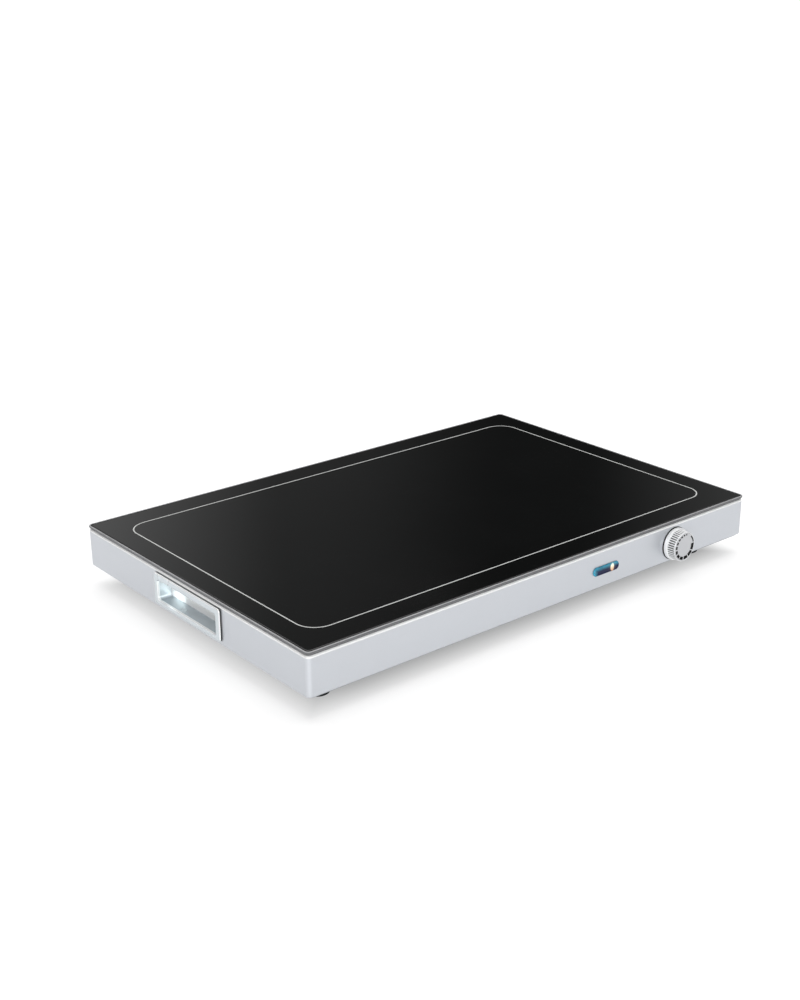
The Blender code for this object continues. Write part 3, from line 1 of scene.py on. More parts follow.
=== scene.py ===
"""Looks of an electric food warmer tray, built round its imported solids.

Lengths are in metres. X runs along the front edge to the right, Y to the back and Z up from the
table. Each sub-assembly is a class that makes its meshes and gives them a finish. The solids that
are already right keep their mesh and only get a finish.
"""

from __future__ import annotations

import json
import logging
import math
from dataclasses import dataclass, field, replace
from enum import Enum

import bpy
import numpy as np
from mathutils import Matrix, Vector

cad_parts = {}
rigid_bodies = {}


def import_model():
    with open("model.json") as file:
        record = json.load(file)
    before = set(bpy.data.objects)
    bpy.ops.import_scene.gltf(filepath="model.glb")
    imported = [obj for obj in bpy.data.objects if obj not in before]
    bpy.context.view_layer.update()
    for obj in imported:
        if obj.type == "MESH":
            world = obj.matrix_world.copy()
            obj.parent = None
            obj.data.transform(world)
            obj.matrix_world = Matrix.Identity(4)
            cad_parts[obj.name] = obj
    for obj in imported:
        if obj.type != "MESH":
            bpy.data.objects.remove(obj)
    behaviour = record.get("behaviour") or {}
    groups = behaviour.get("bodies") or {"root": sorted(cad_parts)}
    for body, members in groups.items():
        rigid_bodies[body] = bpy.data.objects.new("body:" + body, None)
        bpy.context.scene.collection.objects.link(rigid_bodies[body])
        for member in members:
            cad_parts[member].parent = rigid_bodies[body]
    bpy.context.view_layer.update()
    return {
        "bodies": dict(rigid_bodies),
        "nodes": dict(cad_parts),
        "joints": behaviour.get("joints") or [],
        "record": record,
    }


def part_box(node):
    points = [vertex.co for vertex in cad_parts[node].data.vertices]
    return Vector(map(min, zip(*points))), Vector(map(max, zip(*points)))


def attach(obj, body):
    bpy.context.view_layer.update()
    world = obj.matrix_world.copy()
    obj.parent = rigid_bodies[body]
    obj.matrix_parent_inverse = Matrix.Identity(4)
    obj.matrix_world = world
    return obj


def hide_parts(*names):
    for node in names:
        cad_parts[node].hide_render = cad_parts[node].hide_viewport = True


LOG = logging.getLogger("food_warmer_tray")
MM = 0.001
TRAY = "tray"
KNOB = "knob"
CORNERS = ("front_left", "front_right", "rear_left", "rear_right")
# The attribute that says how deep in a groove a point of the knob lies, and so how dark its shade
# is painted
GROOVE = "groove"
# How far a piece stands off the one that it is seated on
SEAT_GAP = 0.3 * MM
# Faces that meet more sharply than this keep their edge
SMOOTH_ANGLE = math.radians(32)
# How far from a corner the points that keep a straight flat stand
EASE = 0.6 * MM
# The most that they stand off, as a share of half the straight
EASE_SHARE = 0.4
# The least and the most of a corner's radius, as shares of its rectangle's shorter half
RADIUS_SHARES = (0.02, 0.985)
ROD_STEPS = 32
# Where nearly all of a noise texture's values lie
NOISE_BAND = (0.3, 0.7)
PATCH_DETAIL = 3.0
GRAIN_DETAIL = 2.0
LEAST_ROUGHNESS = 0.02
# The setting that lets a Map Range node ease in and out
EASED = {"interpolation_type": "SMOOTHSTEP"}

Pair = tuple[float, float]
Triple = tuple[float, float, float]
Colour = tuple[float, float, float, float]
Tree = bpy.types.NodeTree
Node = bpy.types.Node
Socket = bpy.types.NodeSocket


# Shapes


class Wall(Enum):
    """The face that a piece stands on, as its along, up and outward directions."""

    TOP = ((1, 0, 0), (0, 1, 0), (0, 0, 1))
    UNDER = ((1, 0, 0), (0, -1, 0), (0, 0, -1))
    FRONT = ((1, 0, 0), (0, 0, 1), (0, -1, 0))
    REAR = ((-1, 0, 0), (0, 0, 1), (0, 1, 0))
    LEFT = ((0, -1, 0), (0, 0, 1), (-1, 0, 0))
    RIGHT = ((0, 1, 0), (0, 0, 1), (1, 0, 0))

    @property
    def outward(self) -> np.ndarray:
        """The direction that points away from the tray."""
        return np.array(self.value[2], float)

    def place(self, points: np.ndarray, origin: np.ndarray) -> np.ndarray:
        """Turn points that are along, up and out of the wall into the tray's own.

        Args:
            points: Points in the wall's directions, the last axis of length 3.
            origin: Where the wall's own zero lies on the tray.

        Returns:
            The same points in the tray's X, Y and Z.
        """
        return points @ np.array(self.value, float) + origin


@dataclass(frozen=True)
class Extent:
    """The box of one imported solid."""

    low: np.ndarray
    high: np.ndarray

    @classmethod
    def of(cls, node: str) -> "Extent":
        """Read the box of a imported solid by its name."""
        low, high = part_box(node)
        return cls(np.array(low), np.array(high))

    @property
    def centre(self) -> np.ndarray:
        """The middle of the box."""
        return (self.low + self.high) / 2

    @property
    def half(self) -> np.ndarray:
        """Half the box's sides."""
        return (self.high - self.low) / 2

    @property
    def plan(self) -> Pair:
        """Half the box's length and depth, as seen from above."""
        return tuple(self.half[:2])

    @property
    def footing(self) -> np.ndarray:
        """The point of the table under the box's middle."""
        return np.array([*self.centre[:2], 0.0])

    def outermost(self, wall: Wall) -> np.ndarray:
        """The middle of the box's face on the side that a wall looks to."""
        return self.centre + wall.outward * (self.half @ np.abs(wall.outward))

    def beside(self, wall: Wall, middle: np.ndarray) -> np.ndarray:
        """The point on the box's face towards a wall that is level with another solid's middle."""
        face = np.where(wall.outward > 0, self.high, self.low)
        return np.where(wall.outward != 0, face, middle)


@dataclass
class Surface:
    """A mesh as its points and its faces, each face a list of point numbers."""

    points: np.ndarray
    faces: list[list[int]]

    @staticmethod
    def joined(parts: list["Surface"]) -> "Surface":
        """Put several surfaces in one, without welding them.

        Args:
            parts: The surfaces.

        Returns:
            One surface with all their points and faces.
        """
        faces: list[list[int]] = []
        start = 0
        for part in parts:
            faces += [[start + number for number in face] for face in part.faces]
            start += len(part.points)
        return Surface(np.concatenate([part.points for part in parts]), faces)

    def placed(self, wall: Wall, origin: np.ndarray) -> "Surface":
        """The same surface, stood on a wall."""
        return Surface(wall.place(self.points, origin), self.faces)

    def mesh(self, name: str) -> bpy.types.Mesh:
        """Make the surface a mesh that is smooth but for its sharp edges.

        Args:
            name: The mesh's name.

        Returns:
            The mesh.
        """
        data = bpy.data.meshes.new(name)
        data.from_pydata(self.points.tolist(), [], self.faces)
        data.validate()
        data.shade_smooth()
        data.set_sharp_from_angle(angle=SMOOTH_ANGLE)
        return data


def rounded_loops(
    half_along: np.ndarray,
    half_up: np.ndarray,
    radius: np.ndarray,
    steps: int,
    ease: float,
) -> np.ndarray:
    """Work out rounded rectangles that all have the same number of points.

    Each corner is a quarter circle of equal steps about a centre that lies one radius in from two
    sides. One more point stands on each straight, a little before and after the corner, so that
    the flat sides shade as flat.

    Args:
        half_along: Half of each rectangle's length.
        half_up: Half of each rectangle's height.
        radius: Each rectangle's corner radius.
        steps: Steps in a corner.
        ease: How far along the straight the extra points stand.

    Returns:
        Points of shape (rectangles, points, 2), running anticlockwise.
    """
    least = np.minimum(half_along, half_up)
    radius = np.clip(radius, *(share * least for share in RADIUS_SHARES))
    turn = np.linspace(0, np.pi / 2, steps + 1) + np.arange(4)[:, None] * np.pi / 2
    centres = np.array([[1, 1], [-1, 1], [-1, -1], [1, -1]], float)
    reach = np.stack([half_along - radius, half_up - radius], axis=-1)
    circle = np.stack([np.cos(turn), np.sin(turn)], axis=-1)
    corner = centres[:, None] * reach[:, None, None] + circle * radius[:, None, None, None]
    tangent = np.stack([-np.sin(turn), np.cos(turn)], axis=-1)
    room = np.minimum(ease, EASE_SHARE * np.abs(reach))[:, None, :]
    before = corner[:, :, 0] - tangent[:, 0] * room
    after = corner[:, :, -1] + tangent[:, -1] * room
    whole = np.concatenate([before[:, :, None], corner, after[:, :, None]], axis=2)
    return whole.reshape(len(radius), -1, 2)


def rounded_rings(
    half: Pair,
    radius: float,
    profile: np.ndarray,
    rise: float = 0.0,
    steps: int = 10,
    ease: float = EASE,
) -> np.ndarray:
    """Carry a profile round a rounded rectangle.

    A profile point (inset, level) gives one ring: the rectangle drawn in by the inset on every
    side, its corners too, at that level.

    Args:
        half: Half of the rectangle's length and height.
        radius: The rectangle's corner radius.
        profile: Points of shape (rings, 2).
        rise: How far the ring's middle stands above the wall's zero.
        steps: Steps in a corner.
        ease: See rounded_loops.

    Returns:
        Rings of shape (rings, points, 3).
    """
    inset, level = profile[:, 0], profile[:, 1]
    flat = rounded_loops(half[0] - inset, half[1] - inset, radius - inset, steps, ease)
    flat[..., 1] += rise
    height = np.broadcast_to(level[:, None, None], (*flat.shape[:2], 1))
    return np.concatenate([flat, height], axis=-1)


def turned_rings(profile: np.ndarray, steps: int) -> np.ndarray:
    """Spin a profile round the outward axis, in equal steps.

    Args:
        profile: Points of (radius, level).
        steps: Steps in a whole turn.

    Returns:
        Rings of shape (profile points, steps, 3).
    """
    turn = np.linspace(0, 2 * np.pi, steps, endpoint=False)
    radius, level = profile[:, :1], profile[:, 1:]
    height = np.broadcast_to(level, (len(profile), steps))
    return np.stack([radius * np.cos(turn), radius * np.sin(turn), height], axis=-1)


def loft(rings: np.ndarray, closed: bool = False) -> Surface:
    """Join rings of points by four-sided faces.

    The skin looks outwards where rings that run anticlockwise climb up the outside of a form.

    Args:
        rings: Rings of shape (rings, points, 3).
        closed: True where the last ring meets the first, as on a frame. Otherwise the two end
            rings are filled.

    Returns:
        The closed surface.
    """
    index = np.arange(rings.shape[0] * rings.shape[1]).reshape(rings.shape[:2])
    lower = index if closed else index[:-1]
    upper = np.roll(index, -1, axis=0) if closed else index[1:]
    corners = [lower, np.roll(lower, -1, axis=1), np.roll(upper, -1, axis=1), upper]
    faces = np.stack(corners, axis=-1).reshape(-1, 4).tolist()
    if not closed:
        faces += [index[0, ::-1].tolist(), index[-1].tolist()]
    return Surface(rings.reshape(-1, 3), faces)


def arc(centre: Pair, radius: float, start: float, stop: float, steps: int = 6) -> np.ndarray:
    """Points of an arc in a profile, its angles in degrees from the profile's first axis."""
    turn = np.radians(np.linspace(start, stop, steps + 1))
    return np.stack([centre[0] + radius * np.cos(turn), centre[1] + radius * np.sin(turn)], axis=-1)


def profile_of(*pieces: object) -> np.ndarray:
    """String points and arcs together into one profile."""
    return np.concatenate([np.atleast_2d(np.array(piece, float)) for piece in pieces])


def prism(half: Pair, radius: float, low: float, high: float, rise: float = 0.0) -> Surface:
    """A rounded rectangular block that runs from one level to another, used to cut openings."""
    return loft(rounded_rings(half, radius, np.array([[0, low], [0, high]]), rise))


def rod(radius: float, low: float, high: float) -> Surface:
    """A round bar that runs from one level to another, used to cut holes."""
    return loft(turned_rings(np.array([[radius, low], [radius, high]]), ROD_STEPS))


def grown(half: Pair, by: float) -> Pair:
    """A rectangle's half sizes, larger by a gap all round."""
    return half[0] + by, half[1] + by


def around(
    solid: Extent,
    half: Pair,
    corner: float,
    profile: np.ndarray,
    steps: int,
    closed: bool = True,
    ease: float = EASE,
) -> Surface:
    """Carry a profile round a level rounded rectangle about a solid's middle.

    Args:
        solid: The solid that the rectangle lies about.
        half: Half of the rectangle's length and depth.
        corner: Its corner radius.
        profile: Points of (inset, height above the table).
        steps: Steps in a corner.
        closed: See loft.
        ease: See rounded_loops.

    Returns:
        The surface, in place.
    """
    rings = rounded_rings(half, corner, profile, steps=steps, ease=ease)
    return loft(rings, closed).placed(Wall.TOP, solid.footing)


# Finishes


def linear(hex_colour: str) -> Colour:
    """Turn an sRGB hex colour to the linear colour that a shader takes.

    Args:
        hex_colour: The colour, as six hex digits after a hash.

    Returns:
        Its linear red, green and blue, and an alpha of 1.
    """
    code = hex_colour.lstrip("#")
    parts = [int(code[start : start + 2], 16) / 255 for start in (0, 2, 4)]
    return (*(p / 12.92 if p <= 0.04045 else ((p + 0.055) / 1.055) ** 2.4 for p in parts), 1.0)


def result_of(node: Node) -> Socket:
    """The one output that a node uses with its present settings."""
    return next(socket for socket in node.outputs if socket.enabled)


def add_node(
    tree: Tree, kind: str, inputs: dict[str | int, object] | None = None, **settings: object
) -> Node:
    """Add a node, set its properties and fill or link its sockets.

    Args:
        tree: The node tree.
        kind: The node's type name, without the ShaderNode that every one starts with.
        inputs: Sockets by name or number, each with a value, with the socket that feeds it, or
            with the node whose one output feeds it.
        **settings: The node's own properties.

    Returns:
        The node.
    """
    node = tree.nodes.new(f"ShaderNode{kind}")
    for name, value in settings.items():
        setattr(node, name, value)
    for name, value in (inputs or {}).items():
        named = [socket for socket in node.inputs if socket.name == name and socket.enabled]
        socket = named[0] if named else node.inputs[name]
        given = result_of(value) if isinstance(value, Node) else value
        if isinstance(given, Socket):
            tree.links.new(given, socket)
        else:
            socket.default_value = given
    return node


def span(
    value: Node | Socket, band: Pair, ends: tuple[object, float] = (0.0, 1.0)
) -> dict[str, object]:
    """What a Map Range node takes, to run between two ends as a value runs through a band."""
    (start, stop), (low, high) = band, ends
    return {"Value": value, "From Min": start, "From Max": stop, "To Min": low, "To Max": high}


def measured(tree: Tree, place: Socket, middle: Triple, half: Pair) -> Node:
    """Measure places from a middle, in halves of a length along X and of a height along Z.

    Args:
        tree: The material's nodes.
        place: Its Object coordinates.
        middle: The point to measure from.
        half: Half the length and half the height.

    Returns:
        The measured place, whose Y is 0.
    """
    scale = (1 / half[0], 0.0, 1 / half[1])
    moved = add_node(tree, "VectorMath", {0: place, 1: middle}, operation="SUBTRACT")
    return add_node(tree, "VectorMath", {0: moved, 1: scale}, operation="MULTIPLY")


@dataclass(frozen=True)
class Finish:
    """A material with no pattern of its own; the others add theirs.

    Roughness wavers by rough_spread over patches of patch_size, as handling and making leave it,
    and a fine bump of grain_height stands on grains of grain_size. Real flakes, brush lines and
    moulding texture are 0.02 to 0.1 mm across, too fine to show where a pixel is nearly 1 mm, so
    grain_size is as coarse as they need to show.
    """

    name: str
    colour: str
    roughness: float
    metallic: float = 0.0
    ior: float = 1.5
    shade: float = 0.04
    rough_spread: float = 0.04
    patch_size: float = 30 * MM
    grain_size: float = 0.4 * MM
    grain_height: float = 0.01 * MM
    grain_stretch: Triple = (1.0, 1.0, 1.0)
    more: dict[str, object] = field(default_factory=dict)

    def build(self) -> bpy.types.Material:
        """Make the material's nodes.

        Returns:
            The material.
        """
        material = bpy.data.materials.new(self.name)
        material.use_nodes = True
        tree = material.node_tree
        shader = tree.nodes["Principled BSDF"]
        for name, value in {"Metallic": self.metallic, "IOR": self.ior, **self.more}.items():
            shader.inputs[name].default_value = value
        place = add_node(tree, "TexCoord").outputs["Object"]
        slow = {"Vector": place, "Scale": 1 / self.patch_size, "Detail": PATCH_DETAIL}
        patch = add_node(tree, "TexNoise", slow).outputs["Fac"]
        least = max(self.roughness - self.rough_spread, LEAST_ROUGHNESS)
        rough = span(patch, NOISE_BAND, (least, self.roughness + self.rough_spread))
        tree.links.new(result_of(add_node(tree, "MapRange", rough)), shader.inputs["Roughness"])
        self.dress(tree, shader, place, patch)
        return material

    def dress(self, tree: Tree, shader: Node, place: Socket, patch: Socket) -> None:
        """Give the surface its colour and grain.

        Args:
            tree: The material's node tree.
            shader: Its Principled shader.
            place: The object coordinates.
            patch: Slow noise from 0 to 1.
        """
        grain = self.grain(tree, place)
        both = add_node(tree, "Math", {0: grain, 1: patch}, operation="ADD")
        tone = self.tone(tree, both, tuple(2 * value for value in NOISE_BAND))
        tree.links.new(tone, shader.inputs["Base Color"])
        self.emboss(tree, shader, grain)

    def grain(self, tree: Tree, place: Socket) -> Socket:
        """Fine noise, drawn out along grain_stretch.

        Args:
            tree: The material's node tree.
            place: The object coordinates.

        Returns:
            The noise, from 0 to 1.
        """
        scale = [1 / (self.grain_size * stretch) for stretch in self.grain_stretch]
        mapping = add_node(tree, "Mapping", {"Vector": place, "Scale": scale})
        fine = {"Vector": mapping, "Scale": 1.0, "Detail": GRAIN_DETAIL}
        return add_node(tree, "TexNoise", fine).outputs["Fac"]

    def tone(self, tree: Tree, value: Node | Socket, band: Pair) -> Socket:
        """Let the colour run from a little darker to a little lighter.

        Args:
            tree: The material's node tree.
            value: What it runs with.
            band: Where the value is at the run's start and at its end.

        Returns:
            The colour.
        """
        colour = np.array(linear(self.colour))
        dark, light = colour * (1 - self.shade), np.minimum(colour * (1 + self.shade), 1.0)
        share = add_node(tree, "MapRange", span(value, band))
        values = {"Factor": share, "A": (*dark[:3], 1.0), "B": (*light[:3], 1.0)}
        return result_of(add_node(tree, "Mix", values, data_type="RGBA"))

    def emboss(self, tree: Tree, shader: Node, grain: Socket) -> None:
        """Raise the surface by grain_height where the grain is 1."""
        values = {"Height": grain, "Distance": self.grain_height, "Strength": 1.0}
        tree.links.new(result_of(add_node(tree, "Bump", values)), shader.inputs["Normal"])

    @staticmethod
    def blend(tree: Tree, shader: Node, share: Node | Socket, second: Socket | Colour) -> None:
        """Blend the colour that the shader has so far into a second one.

        Args:
            tree: The material's node tree.
            shader: Its Principled shader.
            share: The second colour's share, from 0 to 1.
            second: The second colour.
        """
        colour = shader.inputs["Base Color"]
        values = {"Factor": share, "A": colour.links[0].from_socket, "B": second}
        tree.links.new(result_of(add_node(tree, "Mix", values, data_type="RGBA")), colour)


@dataclass(frozen=True)
class Spangled(Finish):
    """Hot-dip galvanised sheet: flat crystals of zinc, each a little lighter or darker."""

    spangle_size: float = 9 * MM

    def dress(self, tree: Tree, shader: Node, place: Socket, patch: Socket) -> None:
        """Colour each crystal by its cell's own random value.

        Args:
            tree: The material's node tree.
            shader: The Principled shader.
            place: The object coordinates.
            patch: The slow noise, which crystals don't follow.
        """
        cells = add_node(tree, "TexVoronoi", {"Vector": place, "Scale": 1 / self.spangle_size})
        shade = add_node(tree, "SeparateColor", {"Color": cells.outputs["Color"]}).outputs["Red"]
        tree.links.new(self.tone(tree, shade, (0.0, 1.0)), shader.inputs["Base Color"])
        self.emboss(tree, shader, self.grain(tree, place))


@dataclass(frozen=True)
class PaintedLightByFacing(Finish):
    """A finish with painted light: its colour changes as the surface turns to face a direction.

    The second colour is the painted light. Its share grows from 0 to 1 as the normal's part along
    the direction goes through the turn. It shows only further than the reach from the tray's
    middle, along one axis.
    """

    # The painted light's colour
    second: str = "#a9aaac"
    towards: Triple = (0.0, 0.0, 1.0)
    turn: Pair = (0.35, 0.85)
    reach_axis: str = "Z"
    reach: float = 0.0
    painted_light_metallic: float | None = None

    def dress(self, tree: Tree, shader: Node, place: Socket, patch: Socket) -> None:
        """Blend the plain colour into the painted light's colour by the surface's turn and place.

        Args:
            tree: The material's node tree.
            shader: The Principled shader.
            place: The object coordinates.
            patch: The slow noise.
        """
        super().dress(tree, shader, place, patch)
        share = self.share(tree, self.by_reach(tree, place, "GREATER_THAN"))
        second = replace(self, colour=self.second).tone(tree, patch, NOISE_BAND)
        self.blend(tree, shader, share, second)
        # Where light is painted, the surface also takes its own metallic
        if self.painted_light_metallic is not None:
            values = {"Factor": share, "A": self.metallic, "B": self.painted_light_metallic}
            metal = add_node(tree, "Mix", values, data_type="FLOAT")
            tree.links.new(result_of(metal), shader.inputs["Metallic"])

    def by_reach(self, tree: Tree, place: Socket, test: str) -> Node:
        """Compare a place's distance from the tray's middle with the reach.

        Args:
            tree: The material's node tree.
            place: The object coordinates.
            test: The Math node's operation that compares them.

        Returns:
            1 where the test holds, otherwise 0.
        """
        along = add_node(tree, "SeparateXYZ", {"Vector": place}).outputs[self.reach_axis]
        distance = add_node(tree, "Math", {0: along}, operation="ABSOLUTE")
        return add_node(tree, "Math", {0: distance, 1: self.reach}, operation=test)

    def share(self, tree: Tree, outside: Node) -> Node:
        """The painted light's share: its part by facing, only outside."""
        facing = self.facing(tree, self.towards, self.turn)
        return add_node(tree, "Math", {0: facing, 1: outside}, operation="MULTIPLY")

    @staticmethod
    def facing(tree: Tree, towards: Triple, turn: Pair) -> Node:
        """Tell how far the surface has turned to face a direction.

        Args:
            tree: The material's node tree.
            towards: The direction.
            turn: The normal's part along it at the start and at the end.

        Returns:
            A number from 0 to 1.
        """
        normal = add_node(tree, "NewGeometry").outputs["Normal"]
        part = add_node(tree, "VectorMath", {0: normal, 1: towards}, operation="DOT_PRODUCT")
        return add_node(tree, "MapRange", span(part, turn))


@dataclass(frozen=True)
class CupWithPaintedLight(PaintedLightByFacing):
    """A cup's finish: painted highlights on its rolled edge and the pocket's back wall, painted
    shade on its floor.
    """

    back_turn: Pair = (0.8, 0.98)
    painted_floor_shade: str = "#bcc4c8"

    def dress(self, tree: Tree, shader: Node, place: Socket, patch: Socket) -> None:
        """Blend in the painted shade where the surface faces up inside the pocket.

        Args:
            tree: The material's node tree.
            shader: The Principled shader.
            place: The object coordinates.
            patch: The slow noise.
        """
        super().dress(tree, shader, place, patch)
        # Shade painted on the pocket's floor, where it faces up inside
        inside = self.by_reach(tree, place, "LESS_THAN")
        upward = self.facing(tree, (0.0, 0.0, 1.0), self.back_turn)
        floor = add_node(tree, "Math", {0: upward, 1: inside}, operation="MULTIPLY")
        painted_floor_shade = replace(self, colour=self.painted_floor_shade).tone(tree, patch, NOISE_BAND)
        self.blend(tree, shader, floor, painted_floor_shade)

    def share(self, tree: Tree, outside: Node) -> Node:
        """The painted highlight's share by facing outside, and inside the pocket by how squarely it
        faces out.

        Args:
            tree: The material's node tree.
            outside: 1 outside the pocket, otherwise 0.

        Returns:
            The second colour's share, from 0 to 1.
        """
        edge = super().share(tree, outside)
        # Light painted on the pocket's back wall, which faces along X
        left = self.facing(tree, (-1.0, 0.0, 0.0), self.back_turn)
        right = self.facing(tree, (1.0, 0.0, 0.0), self.back_turn)
        back = add_node(tree, "Math", {0: left, 1: right}, operation="ADD")
        inside = add_node(tree, "Math", {0: 1.0, 1: outside}, operation="SUBTRACT")
        wall = add_node(tree, "Math", {0: back, 1: inside}, operation="MULTIPLY")
        return add_node(tree, "Math", {0: edge, 1: wall}, operation="ADD")


@dataclass(frozen=True)
class LampGlow:
    """The light that a lamp throws on dark plastic: an upright oval and a faint halo."""

    middle: Triple = (0.0, 0.0, 0.0)
    oval: Pair = (2.45 * MM, 3.9 * MM)
    top_glow: str = "#fff7d2"
    low_glow: str = "#e2b083"
    strength: float = 1.0
    halo: float = 0.035
    oval_fade: Pair = (0.75, 1.2)
    halo_fade: Pair = (1.0, 3.0)
    colour_rise: Pair = (-0.7, 0.35)

    def shine(self, tree: Tree, shader: Node, place: Socket) -> None:
        """Link the glow to the shader.

        Places are measured from the middle in ovals. With the distance the oval's glow and the
        halo's each fade out along a stretch of their own. The colour goes from one to the other
        up the oval.

        Args:
            tree: The material's nodes.
            shader: Its Principled node.
            place: Its Object coordinates.
        """
        spot = measured(tree, place, self.middle, self.oval)
        away = add_node(tree, "VectorMath", {0: spot}, operation="LENGTH")
        oval = add_node(tree, "MapRange", span(away, self.oval_fade, (self.strength, 0.0)), **EASED)
        halo = add_node(tree, "MapRange", span(away, self.halo_fade, (self.halo, 0.0)), **EASED)
        power = add_node(tree, "Math", {0: oval, 1: halo}, operation="ADD")
        height = add_node(tree, "SeparateXYZ", {"Vector": spot}).outputs["Z"]
        rise = add_node(tree, "MapRange", span(height, self.colour_rise))
        values = {"Factor": rise, "A": linear(self.low_glow), "B": linear(self.top_glow)}
        colour = add_node(tree, "Mix", values, data_type="RGBA")
        tree.links.new(result_of(colour), shader.inputs["Emission Color"])
        tree.links.new(result_of(power), shader.inputs["Emission Strength"])


@dataclass(frozen=True)
class LitLens(Finish):
    """A dark blue lens, bright where light enters it at its top and one end, lit by its lamp.

    The top and the end are ramps: where each begins, where it is done and the share it reaches.
    """

    bright: str = "#3c9cb8"
    middle: Triple = (0.0, 0.0, 0.0)
    half: Pair = (17.5 * MM, 4.5 * MM)
    top: Triple = (-0.1, 0.8, 0.8)
    end: Triple = (-0.62, -1.0, 1.0)
    lamp: LampGlow = LampGlow()

    def dress(self, tree: Tree, shader: Node, place: Socket, patch: Socket) -> None:
        """Blend the body's colour into the bright one by place, and add the lamp's glow.

        Places are measured from the lens's middle in halves of its length and height. The bright
        colour's share is the larger of two ramps, one up the lens and one towards its left end.

        Args:
            tree: The material's node tree.
            shader: The Principled shader.
            place: The object coordinates.
            patch: The slow noise.
        """
        super().dress(tree, shader, place, patch)
        spot = measured(tree, place, self.middle, self.half)
        parts = add_node(tree, "SeparateXYZ", {"Vector": spot}).outputs
        ramps = {}
        for number, (axis, (begin, stop, level)) in enumerate((("Z", self.top), ("X", self.end))):
            values = span(parts[axis], (begin, stop), (0.0, level))
            ramps[number] = add_node(tree, "MapRange", values, **EASED)
        share = add_node(tree, "Math", ramps, operation="MAXIMUM")
        bright = replace(self, colour=self.bright).tone(tree, patch, NOISE_BAND)
        self.blend(tree, shader, share, bright)
        self.lamp.shine(tree, shader, place)


@dataclass(frozen=True)
class Grooved(Finish):
    """A moulded finish with shade painted dark where its piece's own groove attribute is 1."""

    painted_groove_shade: str = "#1e1f22"

    def dress(self, tree: Tree, shader: Node, place: Socket, patch: Socket) -> None:
        """Blend the plain colour into the painted groove shade by the attribute.

        Args:
            tree: The material's node tree.
            shader: The Principled shader.
            place: The object coordinates.
            patch: The slow noise.
        """
        super().dress(tree, shader, place, patch)
        depth = add_node(tree, "Attribute", attribute_name=GROOVE).outputs["Fac"]
        self.blend(tree, shader, depth, linear(self.painted_groove_shade))


@dataclass(frozen=True)
class Turned(Finish):
    """A face cut on a lathe: fine rings about the front wall's outward axis."""

    middle: Triple = (0.0, 0.0, 0.0)

    def grain(self, tree: Tree, place: Socket) -> Socket:
        """Noise that depends only on the distance from the axis.

        Args:
            tree: The material's node tree.
            place: The object coordinates.

        Returns:
            The noise, from 0 to 1.
        """
        back = tuple(-value for value in self.middle)
        moved = add_node(tree, "Mapping", {"Vector": place, "Location": back})
        flat = add_node(tree, "VectorMath", {0: moved, 1: (1.0, 0.0, 1.0)}, operation="MULTIPLY")
        away = add_node(tree, "VectorMath", {0: flat}, operation="LENGTH")
        rings = {"W": away, "Scale": 1 / self.grain_size, "Detail": GRAIN_DETAIL}
        return add_node(tree, "TexNoise", rings, noise_dimensions="1D").outputs["Fac"]


@dataclass(frozen=True)
class Lit(Finish):
    """A lamp's glass that glows from inside."""

    glow: str = "#ffc08a"
    strength: float = 2.4

    def dress(self, tree: Tree, shader: Node, place: Socket, patch: Socket) -> None:
        """Set the glow on the shader's own sockets, over the plain colour.

        Args:
            tree: The material's node tree.
            shader: The Principled shader.
            place: The object coordinates.
            patch: The slow noise.
        """
        super().dress(tree, shader, place, patch)
        shader.inputs["Emission Color"].default_value = linear(self.glow)
        shader.inputs["Emission Strength"].default_value = self.strength


